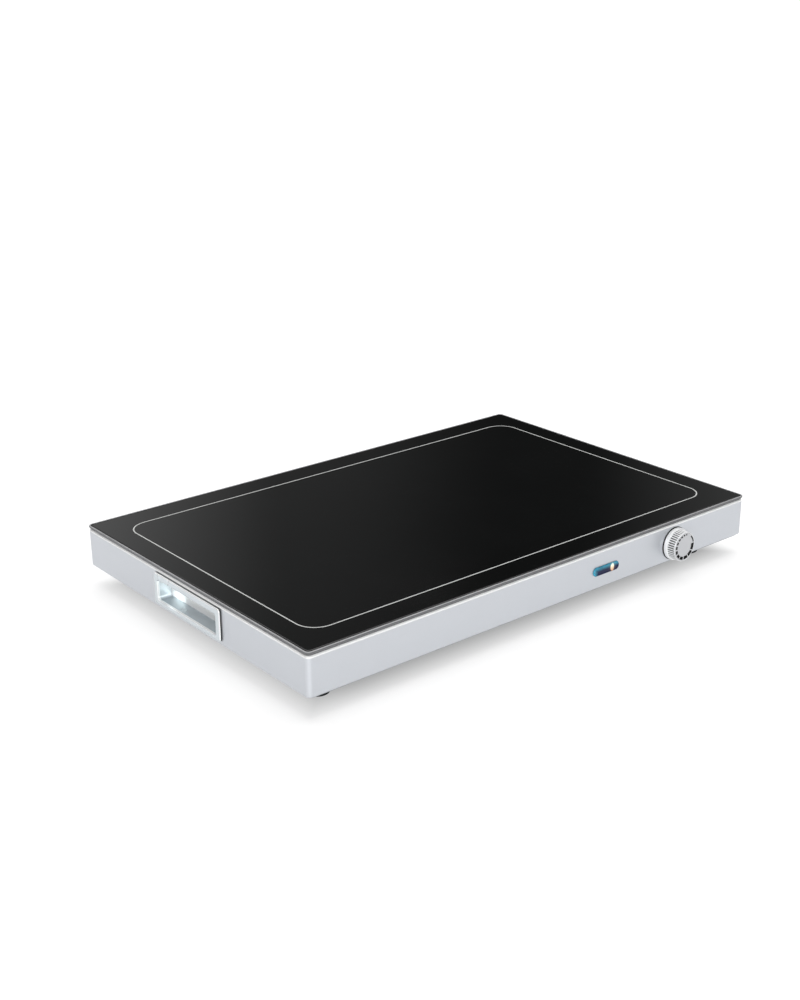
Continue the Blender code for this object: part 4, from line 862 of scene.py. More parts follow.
class Palette:
    """Every finish on the tray, made once and handed out by name."""

    # Silver metallic enamel, baked on drawn sheet steel: satin and faintly blue. Where the sheet
    # turns to look up, as on its shoulder, it is painted white and less metallic: a painted
    # highlight
    enamel = PaintedLightByFacing(
        "silver_enamel_on_steel", "#c9ccd1", 0.42, 0.8, shade=0.02, rough_spread=0.02,
        grain_size=0.6 * MM, grain_height=0.003 * MM, second="#ffffff", turn=(0.0, 0.2),
        painted_light_metallic=0.1,
    )
    # Anodised aluminium strip: dark grey sides, and a top face painted brighter, a painted
    # highlight from above
    trim = PaintedLightByFacing(
        "anodised_aluminium_painted_lit_top", "#696a6c", 0.42, 0.3, shade=0.1,
        grain_size=0.5 * MM, grain_stretch=(8.0, 8.0, 1.0), second="#9b9b9d",
    )
    # Satin chrome on a zinc casting: cool, brushed along X and Z. Highlights are painted on its
    # rolled edge and its pocket's back wall, and shade is painted on the pocket's floor
    chrome = CupWithPaintedLight(
        "satin_chrome_on_zinc", "#cfd6da", 0.26, 0.6, shade=0.05, rough_spread=0.02,
        grain_size=0.6 * MM, grain_stretch=(14.0, 1.0, 14.0), grain_height=0.001 * MM,
        second="#fdfefe", painted_light_metallic=0.3, towards=(0.0, -0.55, 0.83), turn=(0.1, 0.45),
        reach_axis="X",
    )
    # Toughened black glass: a deep black body under a polished face, wiped but not spotless
    glass = Finish(
        "toughened_black_glass", "#0a0b0b", 0.06, 0.0, 1.5, shade=0.1, rough_spread=0.02,
        patch_size=90 * MM, grain_height=0.0001 * MM, grain_size=3 * MM,
    )
    # Silicone sealant, tooled flush between glass and trim: black and nearly matt
    sealant = Finish(
        "tooled_black_silicone", "#050505", 0.5, 0.0, shade=0.1, grain_height=0.0,
        more={"Specular IOR Level": 0.1},
    )
    # Ceramic ink fired on the glass: light grey and matt
    fired_ink = Finish("fired_ceramic_ink", "#b9bab8", 0.55, 0.0, shade=0.05)
    # Silver-painted ABS, injection moulded: pale and satin, with shade painted dark between its
    # ribs
    knob = Grooved(
        "silver_painted_abs", "#f5f6f7", 0.34, 0.2, shade=0.03, grain_size=0.3 * MM,
        grain_height=0.004 * MM,
    )
    # The same silver paint on the dial's turned face: greyer, with fine rings about its middle
    dial = Turned(
        "silver_painted_dial", "#c3c4c7", 0.32, 0.35, shade=0.03, grain_size=0.35 * MM,
        grain_height=0.006 * MM,
    )
    # Pad-printed black ink on the knob's face: flat and dense
    pad_ink = Finish(
        "pad_printed_ink", "#060607", 0.6, 0.0, shade=0.1, more={"Specular IOR Level": 0.1}
    )
    # Blue polycarbonate lens, moulded and glossy: cyan where light enters it, near black underneath
    lens = LitLens(
        "glossy_blue_polycarbonate", "#0e1640", 0.14, 0.0, 1.585, shade=0.25, rough_spread=0.02,
        patch_size=7 * MM, grain_height=0.0, more={"Specular IOR Level": 0.2},
    )
    # Neon lamp: an amber glow in clear glass
    lamp = Lit("neon_lamp_glow", "#ffcf9a", 0.3, 0.0, 1.5)
    # Nitrile rubber, moulded: soft black with a dusty bloom
    rubber = Finish(
        "moulded_nitrile_rubber", "#161617", 0.75, 0.0, shade=0.15, rough_spread=0.08,
        grain_height=0.02 * MM, more={"Specular IOR Level": 0.25},
    )
    # Glass-filled black nylon, injection moulded: fine spark-eroded texture
    nylon = Finish(
        "black_glass_filled_nylon", "#17181a", 0.5, 0.0, shade=0.15, grain_size=0.25 * MM,
        grain_height=0.015 * MM,
    )
    # Hot-dip galvanised sheet: spangled grey zinc
    galvanised = Spangled(
        "galvanised_sheet_steel", "#9a9ea1", 0.42, 0.85, shade=0.16, rough_spread=0.08,
        grain_height=0.003 * MM,
    )
    # Bright zinc plate on small steel parts: cool grey, slightly brushed
    zinc = Finish("bright_zinc_plate", "#a9adb0", 0.32, 1.0, shade=0.08, grain_size=0.3 * MM)
    # Mill-finish aluminium, rolled: faint lines along X
    aluminium = Finish(
        "mill_finish_aluminium", "#c9cacc", 0.3, 1.0, shade=0.05, grain_size=0.5 * MM,
        grain_stretch=(20.0, 1.0, 1.0),
    )
    # Free-cutting brass, turned: warm yellow
    brass = Finish("turned_brass", "#c9a760", 0.28, 1.0, shade=0.06)
    # Nickel plate on brass contact blades: pale and a little warm
    nickel = Finish("nickel_plate_on_brass", "#c8c4bb", 0.25, 1.0, shade=0.05)
    # Drawn copper capillary: pinkish, dulled by handling
    copper = Finish("drawn_copper", "#b8714f", 0.35, 1.0, shade=0.1)
    # Needled ceramic fibre: off-white and woolly
    fibre = Finish(
        "needled_ceramic_fibre", "#e4e0d4", 0.95, 0.0, shade=0.08, grain_size=1.2 * MM,
        grain_height=0.3 * MM,
    )
    # Extruded silicone sleeve over the heater cord: rust red
    silicone = Finish("extruded_silicone_sleeve", "#8f3b26", 0.55, 0.0, shade=0.08)
    # Varnished glass-fibre sleeve over the leads: a fine braid in cream
    braid = Finish(
        "varnished_glass_fibre_sleeve", "#d9d3c0", 0.6, 0.0, shade=0.12, grain_size=0.5 * MM,
        grain_height=0.05 * MM,
    )
    # Green sleeve that marks the earth lead
    earth = Finish(
        "green_earth_sleeve", "#2f7a3a", 0.5, 0.0, shade=0.12, grain_size=0.5 * MM,
        grain_height=0.05 * MM,
    )

    def __init__(self) -> None:
        """Start with nothing made."""
        self._made: dict[str, bpy.types.Material] = {}

    def material(self, finish: Finish) -> bpy.types.Material:
        """Make a finish's material the first time that it is asked for.

        Args:
            finish: One of this class's finishes, or another of its kind.

        Returns:
            Its material.
        """
        if finish.name not in self._made:
            self._made[finish.name] = finish.build()
        return self._made[finish.name]


def into_scene(name: str, data: bpy.types.ID) -> bpy.types.Object:
    """Make an object of a mesh, a light or a camera, and put it in the scene.

    Args:
        name: The object's name.
        data: What it shows.

    Returns:
        The object.
    """
    obj = bpy.data.objects.new(name, data)
    bpy.context.scene.collection.objects.link(obj)
    return obj


class Workshop:
    """Puts finished pieces in the scene, hangs them on their bodies and hides the solids they stand
    for.
    """

    def __init__(self, frame: dict[str, object]) -> None:
        """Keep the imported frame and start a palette.
        """
        self.nodes = frame["nodes"]
        self.palette = Palette()
        subparts = frame["record"]["subparts"]
        self.slots = {entry["node"]: entry["material_slot"] for entry in subparts}

    def piece(
        self,
        name: str,
        surface: Surface,
        finish: Finish,
        body: str,
        replaces: tuple[str, ...] = (),
        slot: str | None = None,
    ) -> bpy.types.Object:
        """Add one modelled piece.

        Args:
            name: The piece's own name.
            surface: Its shape, in place.
            finish: Its finish.
            body: The body that it moves with.
            replaces: The solids that it stands for.
            slot: Not used.

        Returns:
            The object.
        """
        obj = into_scene(name, surface.mesh(name))
        obj.data.materials.append(self.palette.material(finish))
        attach(obj, body)
        if replaces:
            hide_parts(*replaces)
        LOG.info("%s: %d points on %s", name, len(obj.data.vertices), body)
        return obj

    @staticmethod
    def mark(obj: bpy.types.Object, name: str, values: np.ndarray) -> None:
        """Give each point of a piece a number from 0 to 1, under a name that its finish reads."""
        attribute = obj.data.attributes.new(name, "FLOAT", "POINT")
        attribute.data.foreach_set("value", values.astype(np.float32))

    def finish_solids(self, finish: Finish, *names: str) -> None:
        """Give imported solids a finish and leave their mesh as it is.

        Args:
            finish: The finish.
            *names: The solids' names.
        """
        for name in names:
            obj = self.nodes[name]
            obj.data.materials.clear()
            obj.data.materials.append(self.palette.material(finish))
            LOG.info("%s: %s", name, finish.name)

    @staticmethod
    def cut(obj: bpy.types.Object, tool: Surface) -> None:
        """Cut a surface out of a piece for good.

        Args:
            obj: The piece.
            tool: One or more closed shapes that don't touch each other.
        """
        knife = into_scene("knife", tool.mesh("knife"))
        modifier = obj.modifiers.new("openings", "BOOLEAN")
        modifier.object = knife
        modifier.operation = "DIFFERENCE"
        modifier.solver = "EXACT"
        bpy.context.view_layer.update()
        held = obj.evaluated_get(bpy.context.evaluated_depsgraph_get())
        old = obj.data
        made = bpy.data.meshes.new_from_object(held)
        obj.modifiers.clear()
        obj.data = made
        made.name = old.name
        made.shade_smooth()
        made.set_sharp_from_angle(angle=SMOOTH_ANGLE)
        bpy.data.objects.remove(knife, do_unlink=True)


# Sub-assemblies


@dataclass
class GlassTop:
    """The glass, the border printed on it, the trim ring round it and the bead between the two."""

    glass_corner: float = 2.4 * MM
    glass_edge: float = 0.4 * MM
    trim_corner: float = 5.4 * MM
    trim_width: float = 2.7 * MM
    trim_top: float = 1.6 * MM
    bead_depth: float = 0.5 * MM
    bead_width: float = 1.5 * MM
    bead_drop: float = 0.07 * MM
    trim_edge: float = 0.5 * MM
    trim_inner_edge: float = 0.2 * MM
    trim_undercut: float = 1.2 * MM
    border_half: Pair = (253.4 * MM, 153.5 * MM)
    border_corner: float = 21.0 * MM
    border_width: float = 1.3 * MM
    ink_thickness: float = 0.03 * MM
    glass_drop: float = 0.05 * MM
    corner_steps: int = 12
    border_steps: int = 24
    inner_steps: int = 3

    def build(self, shop: Workshop) -> None:
        """Make the four pieces.

        Args:
            shop: Where they go.
        """
        glass, trim = Extent.of("glass_top"), Extent.of("trim_frame")
        self._plate(shop, glass)
        self._trim(shop, trim)
        self._bead(shop, trim)
        self._border(shop, glass)

    def _plate(self, shop: Workshop, glass: Extent) -> None:
        """Make the glass, with rounded edges.

        Args:
            shop: Where it goes.
            glass: The glass's box.
        """
        edge = self.glass_edge
        low, high = glass.low[2], glass.high[2] - self.glass_drop
        profile = profile_of(
            [edge + edge, low],
            arc((edge, low + edge), edge, 270, 180),
            arc((edge, high - edge), edge, 180, 90),
            [edge + edge, high],
        )
        plate = around(
            glass, glass.plan, self.glass_corner, profile, self.corner_steps, closed=False
        )
        shop.piece("glass_plate", plate, Palette.glass, TRAY, ("glass_top",))

    def _trim(self, shop: Workshop, trim: Extent) -> None:
        """Make the trim ring: a rounded top rim over a seat for the glass.

        Args:
            shop: Where it goes.
            trim: The trim's box.
        """
        low, high = trim.low[2], trim.high[2]
        edge, inner = self.trim_edge, self.trim_inner_edge
        profile = profile_of(
            [self.trim_width, low],
            [self.trim_undercut, low],
            [self.trim_undercut, low + edge],
            [0, high - 3 * edge],
            arc((edge, high - edge), edge, 180, 90),
            arc((self.trim_top - inner, high - inner), inner, 90, 0, self.inner_steps),
            [self.trim_top, high - self.bead_depth],
            [self.trim_width, high - self.bead_depth],
        )
        ring = around(trim, trim.plan, self.trim_corner, profile, self.corner_steps)
        shop.piece("trim_ring", ring, Palette.trim, TRAY, ("trim_frame",))

    def _bead(self, shop: Workshop, trim: Extent) -> None:
        """Lay the bead of sealant between the trim's rim and the glass.

        Args:
            shop: Where it goes.
            trim: The trim's box.
        """
        top = trim.high[2]
        low, high = top - self.bead_depth + self.glass_drop, top - self.bead_drop
        near, far = self.trim_top + self.glass_drop, self.trim_top + self.bead_width
        profile = profile_of([far, low], [near, low], [near, high], [far, high])
        bead = around(trim, trim.plan, self.trim_corner, profile, self.corner_steps)
        shop.piece("seal_bead", bead, Palette.sealant, TRAY, slot="black_rubber")

    def _border(self, shop: Workshop, glass: Extent) -> None:
        """Print the border line on the glass.

        Args:
            shop: Where it goes.
            glass: The glass's box.
        """
        half_width = self.border_width / 2
        low = glass.high[2] - self.glass_drop
        high = low + self.ink_thickness
        profile = profile_of(
            [half_width, low], [-half_width, low], [-half_width, high], [half_width, high]
        )
        line = around(glass, self.border_half, self.border_corner, profile, self.border_steps)
        shop.piece("printed_border", line, Palette.fired_ink, TRAY, slot="silver_plastic")


@dataclass
class Housing:
    """The drawn sheet housing, with every opening in its walls."""

    corner: float = 5.0 * MM
    sheet: float = 0.8 * MM
    shoulder: float = 2.3 * MM
    shoulder_radius: float = 2.05 * MM
    joggle_radius: float = 0.2 * MM
    foot_radius: float = 2.0 * MM
    ledge: float = 13.3 * MM
    ledge_drop: float = 2.2 * MM
    flange: float = 14.0 * MM
    ease: float = 0.8 * MM
    # How thick the shoulder is under its top, in sheets
    shoulder_sheets: float = 1.3
    corner_steps: int = 14
    shoulder_steps: int = 8
    joggle_steps: int = 3

    def build(self, shop: Workshop, cutters: list[Surface]) -> None:
        """Make the shell and cut it.

        Args:
            shop: Where it goes.
            cutters: The openings that the other sub-assemblies need.
        """
        solid = Extent.of("housing")
        low, high = solid.low[2], solid.high[2]
        sheet, ledge = self.sheet, high - self.ledge_drop
        foot, top = self.foot_radius, self.shoulder_radius
        joggle = self.joggle_radius
        profile = profile_of(
            [self.flange, low],
            [foot + self.ease, low],
            arc((foot, low + foot), foot, 270, 180),
            [0, low + foot + self.ease],
            [0, high - top - self.ease],
            arc((top, high - top), top, 180, 90, self.shoulder_steps),
            arc((self.shoulder - joggle, high - joggle), joggle, 90, 0, self.joggle_steps),
            [self.shoulder, ledge],
            [self.ledge, ledge],
            [self.ledge, ledge - sheet],
            [self.shoulder - sheet, ledge - sheet],
            [self.shoulder - sheet, high - self.shoulder_sheets * sheet],
            [sheet, high - top],
            [sheet, low + sheet],
            [self.flange, low + sheet],
        )
        shell = around(solid, solid.plan, self.corner, profile, self.corner_steps, ease=self.ease)
        obj = shop.piece("housing_shell", shell, Palette.enamel, TRAY, ("housing",))
        shop.cut(obj, Surface.joined(cutters))


@dataclass
class HandleCups:
    """The two flush handles: a bezel on the wall and a drawn finger pocket behind it."""

    bezel_corner: float = 3.0 * MM
    bezel_edge: Pair = (2.0 * MM, 1.2 * MM)
    proud: float = 2.5 * MM
    pocket_half: Pair = (49.25 * MM, 10.4 * MM)
    pocket_corner: float = 3.0 * MM
    pocket_depth: float = 15.0 * MM
    pocket_drop: float = 0.6 * MM
    lip: float = 0.7 * MM
    floor_radius: float = 1.2 * MM
    wall: float = 1.2 * MM
    draft: float = 0.25 * MM
    clearance: float = 0.3 * MM
    bezel_half: Pair = (55.5 * MM, 16.0 * MM)
    gasket_high: float = 1.3 * MM
    gasket_inset: float = 0.25 * MM
    overrun: float = 3.0 * MM
    edge_steps: int = 10
    pocket_steps: int = 8

    def openings(self, housing: Extent) -> list[Surface]:
        """Shape the housing's two openings for the pockets.

        Args:
            housing: The housing's box.

        Returns:
            A block for each end wall.
        """
        clear = self.wall + self.clearance
        block = prism(
            grown(self.pocket_half, clear),
            self.pocket_corner + clear,
            -self.overrun,
            self.overrun,
            -self.pocket_drop,
        )
        return [block.placed(wall, self._origin(wall, housing)) for wall in (Wall.LEFT, Wall.RIGHT)]

    def build(self, shop: Workshop, housing: Extent) -> None:
        """Make both cups.

        Args:
            shop: Where they go.
            housing: The housing's box.
        """
        for wall, side in ((Wall.LEFT, "left"), (Wall.RIGHT, "right")):
            origin = self._origin(wall, housing)
            cup = loft(self._rings()).placed(wall, origin)
            finish = replace(Palette.chrome, reach=abs(origin[0]))
            shop.piece(f"{side}_finger_cup", cup, finish, TRAY, (f"{side}_handle_cup",))
            # The gasket's black also paints the shadow in the gap under the bezel
            gasket = loft(self._gasket_rings(), closed=True).placed(wall, origin)
            shop.piece(f"{side}_cup_gasket", gasket, Palette.rubber, TRAY, slot="black_rubber")

    @staticmethod
    def _origin(wall: Wall, housing: Extent) -> np.ndarray:
        """Find the point of an end wall that is level with the handle's middle.

        Args:
            wall: The end wall.
            housing: The housing's box.

        Returns:
            The point.
        """
        face = housing.outermost(wall)
        face[2] = Extent.of("left_handle_cup").centre[2]
        return face

    def _gasket_rings(self) -> np.ndarray:
        """Shape a flat rubber frame that lies between the wall and the bezel; its black also paints
        the gap's shadow.

        Returns:
            Its rings.
        """
        inner = self.bezel_half[1] - self.pocket_half[1] - self.wall
        low, high = SEAT_GAP, self.gasket_high
        profile = profile_of(
            [inner, low],
            [self.gasket_inset, low],
            [self.gasket_inset, high],
            [inner, high],
        )
        return rounded_rings(self.bezel_half, self.bezel_corner, profile)

    def _rings(self) -> np.ndarray:
        """Rings up the pocket's outside, over the bezel and down to the pocket's floor.

        The bezel's rings are the bezel's outline drawn in; the pocket's are the pocket's outline,
        lower by the drop. The pocket tapers by the draft from its lip to its floor.

        Returns:
            The cup's rings.
        """
        back = self.proud - self.pocket_depth
        outer = self.floor_radius + self.wall
        shell = profile_of(
            [outer + outer, back - self.wall],
            arc((outer - self.wall, back - self.wall + outer), outer, 270, 180),
            [-self.wall, self.gasket_high],
        )
        edge, lip, floor = np.array(self.bezel_edge), self.lip, self.floor_radius
        bezel = profile_of(
            [0, self.gasket_high],
            arc((1, 0), 1, 180, 90, self.edge_steps) * edge + [0, self.proud - edge[1]],
            [edge[0] + edge[1] / 2, self.proud],
        )
        pocket = profile_of(
            [-lip - lip / 2, self.proud],
            arc((-lip, self.proud - lip), lip, 90, 0, self.pocket_steps),
            [self.draft / 4, self.proud - lip - self.pocket_depth / 8],
            arc((self.draft + floor, back + floor), floor, 180, 270, self.pocket_steps),
            [self.draft + floor + floor / 2, back],
        )
        return np.concatenate(
            [
                rounded_rings(self.pocket_half, self.pocket_corner, shell, -self.pocket_drop),
                rounded_rings(self.bezel_half, self.bezel_corner, bezel),
                rounded_rings(self.pocket_half, self.pocket_corner, pocket, -self.pocket_drop),
            ]
        )


@dataclass
class ControlKnob:
    """The thermostat knob: a plain skirt, a ribbed grip, and a cap with a ring of growing dashes.

    Real ribs would be finer and more. These are as coarse as they need to be to show.
    """

    skirt_height: float = 3.8 * MM
    skirt_edge: float = 0.6 * MM
    rear_edge: float = 0.3 * MM
    grip_base: float = 15.6 * MM
    grip_top: float = 14.95 * MM
    lip_gap: float = 0.1 * MM
    ribs: int = 40
    rib_depth: float = 1.0 * MM
    rib_samples: int = 12
    groove_sharpness: float = 1.5
    groove_spread: float = 0.7
    hollow: Pair = (11.5 * MM, 4.0 * MM)
    bore: float = 3.3 * MM
    bushing_clearance: float = 0.3 * MM
    bushing_radius: float = 4.8 * MM
    cap_edge: float = 0.4 * MM
    cap_rim: float = 0.35 * MM
    ink_thickness: float = 0.03 * MM
    dash_outer: float = 13.4 * MM
    first_dash: float = 82.0
    first_step: float = 15.0
    step_growth: float = 1.093
    dash_count: int = 13
    dash_fill: Pair = (0.55, 0.84)
    dash_widths: Pair = (1.4 * MM, 3.9 * MM)
    # A black rubber ring behind the knob: a dark piece that paints the shadow in the gap at its
    # base
    shadow_washer: Pair = (9.0 * MM, 17.0 * MM)
    shadow_washer_height: float = 0.6 * MM
    round_steps: int = 96
    rear_steps: int = 3
    grip_levels: int = 14
    # How fast the ribs deepen from either end of the grip, and how deep they still are at its top
    rib_fade: float = 14.0
    rib_end: float = 0.02
    nose_start: float = 12.0
    dash_points: int = 13

    def opening(self, housing: Extent) -> Surface:
        """The housing's hole for the thermostat's bushing."""
        radius = self.bushing_radius + self.bushing_clearance
        return rod(radius, -radius, radius).placed(Wall.FRONT, self._origin(housing))

    def build(self, shop: Workshop, housing: Extent) -> None:
        """Make the knob, its cap, the ink on it and the black washer behind it, which paints the
        shadow at its base.

        Args:
            shop: Where they go.
            housing: The housing's box.
        """
        origin, wall = self._origin(housing), housing.low[1]
        knob, cap = Extent.of("control_knob"), Extent.of("knob_cap")
        rear, front, outermost = wall - knob.high[1], wall - knob.low[1], wall - cap.low[1]
        lip = (cap.half[0] + self.lip_gap, outermost - self.cap_edge)
        rings, groove = self._grip_rings(knob.half[0], rear, front, lip)
        skin = loft(rings, closed=True).placed(Wall.FRONT, origin)
        obj = shop.piece("ribbed_knob", skin, Palette.knob, KNOB, ("control_knob",))
        shop.mark(obj, GROOVE, groove.ravel())

        face = outermost - self.ink_thickness
        disc = self._cap(cap.half[0], front + SEAT_GAP, face).placed(Wall.FRONT, origin)
        dial = replace(Palette.dial, middle=tuple(origin))
        shop.piece("dial_cap", disc, dial, KNOB, ("knob_cap",))
        inner, outer = self.shadow_washer
        high = self.shadow_washer_height
        flat = profile_of([inner, 0], [outer, 0], [outer, high], [inner, high])
        shadow_washer = loft(turned_rings(flat, self.round_steps), closed=True).placed(Wall.FRONT, origin)
        shop.piece("knob_shadow_washer", shadow_washer, Palette.rubber, TRAY, slot="black_rubber")
        dashes = self._dashes(face).placed(Wall.FRONT, origin)
        shop.piece("dial_dashes", dashes, Palette.pad_ink, KNOB, slot="black_plastic")

    @staticmethod
    def _origin(housing: Extent) -> np.ndarray:
        """The point of the front wall that the knob's axis passes through."""
        return housing.beside(Wall.FRONT, Extent.of("control_knob").centre)

    def _cap(self, radius: float, seat: float, face: float) -> Surface:
        """Turn the cap, a flat disc with a rounded front edge.

        Args:
            radius: Its radius.
            seat: The level of its back.
            face: The level of its face.

        Returns:
            The disc.
        """
        edge, rim = self.cap_edge, self.cap_rim
        profile = profile_of(
            [rim, seat],
            [radius - rim, seat],
            [radius, seat],
            [radius, face - edge],
            arc((radius - edge, face - edge), edge, 0, 90),
            [radius - 2 * edge, face],
            [rim, face],
        )
        return loft(turned_rings(profile, self.round_steps))

    def _grip_rings(
        self, radius: float, rear: float, front: float, lip: Pair
    ) -> tuple[np.ndarray, np.ndarray]:
        """Shape the knob's skin, from its bore round the skirt and grip and back.

        A thin lip stands over the grip, round the cap's side.

        On the grip a point's radius falls by the rib depth times a raised cosine of its angle to a
        power, so that broad ribs part at narrow grooves. The depth fades out at both ends.

        Args:
            radius: The skirt's radius.
            rear: The level of the skirt's back edge.
            front: The level of the seat that the cap lies on.
            lip: The lip's inner radius and the level of its top.

        Returns:
            The rings, and how deep in a groove each of their points lies, from 0 to 1.
        """
        hollow_radius, hollow_depth = self.hollow
        ceiling, step = rear + hollow_depth, rear + self.skirt_height
        back = self.rear_edge
        inside = profile_of(
            [self.bore, ceiling],
            [hollow_radius, ceiling],
            [hollow_radius, rear],
            arc((radius - back, rear + back), back, 270, 360, self.rear_steps),
            arc((radius - self.skirt_edge, step - self.skirt_edge), self.skirt_edge, 0, 90),
            [self.grip_base + back, step],
        )
        lip_radius, top = lip
        edge = (self.grip_top - lip_radius) / 2
        level = np.linspace(step, top - edge, self.grip_levels)
        along = (level - step) / (top - edge - step)
        grip = np.stack([self.grip_base + (self.grip_top - self.grip_base) * along, level], axis=-1)
        nose = profile_of(
            arc((self.grip_top - edge, top - edge), edge, self.nose_start, 180),
            [lip_radius, front],
            [self.bore, front],
        )
        steps = self.ribs * self.rib_samples
        rings = turned_rings(np.concatenate([inside, grip, nose]), steps)
        turn = np.linspace(0, 2 * np.pi, steps, endpoint=False)
        tooth = (0.5 - 0.5 * np.cos(self.ribs * turn)) ** self.groove_sharpness
        depth = np.minimum(along, 1 + self.rib_end - along) * self.rib_fade
        fade = np.zeros(len(rings))
        fade[len(inside) : len(inside) + len(grip)] = np.clip(depth, 0, 1)
        groove = fade[:, None] * tooth
        rings[..., 0] -= self.rib_depth * groove * np.cos(turn)
        rings[..., 1] -= self.rib_depth * groove * np.sin(turn)
        return rings, groove**self.groove_spread

    def _dashes(self, face: float) -> Surface:
        """Lay pads of ink round the dial.

        Each step from one pad's middle to the next is the last step times the growth, so the
        middles lie at first + step * (growth^k - 1) / (growth - 1). A pad's sweep is a share of its
        step, and its width grows evenly, but the last one is as thin as the first.

        Args:
            face: The level of the cap's face.

        Returns:
            The pads.
        """
        number = np.arange(self.dash_count)
        rise = self.step_growth**number
        middle = self.first_dash + self.first_step * (rise - 1) / (self.step_growth - 1)
        share = number / (self.dash_count - 2)
        sweep = self.first_step * rise * np.interp(share, [0, 1], self.dash_fill)
        width = np.interp(share, [0, 1], self.dash_widths)
        width[-1] = width[0]
        along = sweep[:, None] * np.linspace(0.5, -0.5, self.dash_points)
        turn = np.radians(middle[:, None] + along)[..., None]
        radius = self.dash_outer - width[:, None, None] * np.array([1, 0, 0, 1])
        level = np.array([0, 0, 1, 1]) * self.ink_thickness + face
        flat = np.stack([radius * np.cos(turn), radius * np.sin(turn)], axis=-1)
        height = np.broadcast_to(level[:, None], (*flat.shape[:-1], 1))
        rings = np.concatenate([flat, height], axis=-1)
        return Surface.joined([loft(pad) for pad in rings])


@dataclass
class IndicatorWindow:
    """The capsule window: a rounded blue rim, a blue pane in it and the lamp behind the pane."""

    half: Pair = (17.5 * MM, 4.5 * MM)
    proud: float = 1.5 * MM
    edge: float = 1.1 * MM
    pane_half: Pair = (14.7 * MM, 2.5 * MM)
    pane_high: float = 1.25 * MM
    pane_thickness: float = 1.05 * MM
    pane_edge: float = 0.2 * MM
    plug: float = 6.0 * MM
    wall: float = 1.0 * MM
    clearance: float = 0.2 * MM
    overrun: float = 3.0 * MM
    glow_shift: float = 0.8 * MM
    bulb_inset: float = 0.6 * MM
    ease: float = 0.3 * MM
    end_steps: int = 14
    rim_turn: float = 60.0
    rim_steps: int = 8
    tip_turn: float = 86.0
    tip_steps: int = 10
    bulb_steps: int = 48

    def opening(self, housing: Extent) -> Surface:
        """Shape the housing's slot for the window's plug.

        Args:
            housing: The housing's box.

        Returns:
            The slot's block.
        """
        half = grown(self.pane_half, self.wall + self.clearance)
        block = prism(half, half[1], -self.overrun, self.overrun)
        return block.placed(Wall.FRONT, self._origin(housing))

    def build(self, shop: Workshop, housing: Extent) -> None:
        """Make the rim, the pane and the lamp.

        Args:
            shop: Where they go.
            housing: The housing's box.
        """
        origin, lamp = self._origin(housing), Extent.of("neon_lamp")
        glow = LampGlow(middle=tuple(lamp.centre - [self.glow_shift, 0, 0]))
        lit = replace(Palette.lens, middle=tuple(origin), half=self.half, lamp=glow)
        rim = loft(self._rim_rings(), closed=True).placed(Wall.FRONT, origin)
        shop.piece("window_rim", rim, lit, TRAY, ("indicator_lens",))
        pane = loft(self._pane_rings()).placed(Wall.FRONT, origin)
        shop.piece("window_pane", pane, lit, TRAY, slot="blue_lens")
        shop.piece("lamp_bulb", self._bulb(lamp), Palette.lamp, TRAY, ("neon_lamp",))

    def _capsule(self, half: Pair, profile: np.ndarray) -> np.ndarray:
        """Carry a profile round a slot whose ends are half circles."""
        return rounded_rings(half, half[1], profile, steps=self.end_steps, ease=self.ease)

    def _rim_rings(self) -> np.ndarray:
        """Shape the rim: down the plug's outside, out under the rim, over its face and back inside.

        Returns:
            Its rings.
        """
        edge, wall = self.edge, self.wall
        plug = profile_of([0, -self.plug], [-wall, -self.plug], [-wall, SEAT_GAP])
        face = arc((edge, self.proud - edge), edge, 180, self.rim_turn, self.rim_steps)
        inner = profile_of([0, self.pane_high], [0, 0])
        return np.concatenate(
            [
                self._capsule(self.pane_half, plug),
                self._capsule(self.half, profile_of([0, SEAT_GAP], face)),
                self._capsule(self.pane_half, inner),
            ]
        )

    def _pane_rings(self) -> np.ndarray:
        """Shape a flat pane with eased edges.

        Returns:
            Its rings.
        """
        gap, edge, high = self.clearance / 4, self.pane_edge, self.pane_high
        profile = profile_of(
            [gap + edge, high - self.pane_thickness],
            [gap, high - self.pane_thickness + edge],
            [gap, high - edge],
            [gap + edge, high],
        )
        return self._capsule(self.pane_half, profile)

    def _bulb(self, lamp: Extent) -> Surface:
        """Shape a glass tube whose tip is a quarter of a circle in profile, close behind the pane.

        Args:
            lamp: The lamp's box.

        Returns:
            The tube, in place.
        """
        radius = lamp.half[0]
        length = lamp.high[1] - Extent.of("housing").low[1] - self.bulb_inset
        tip = arc((0, length - radius), radius, 0, self.tip_turn, self.tip_steps)
        profile = profile_of([radius / 3, 0], [radius, 0], [radius, length / 2], tip)
        base = lamp.beside(Wall.REAR, lamp.centre)
        return loft(turned_rings(profile, self.bulb_steps)).placed(Wall.FRONT, base)

    @staticmethod
    def _origin(housing: Extent) -> np.ndarray:
        """The point of the front wall at the window's middle."""
        return housing.beside(Wall.FRONT, Extent.of("indicator_lens").centre)


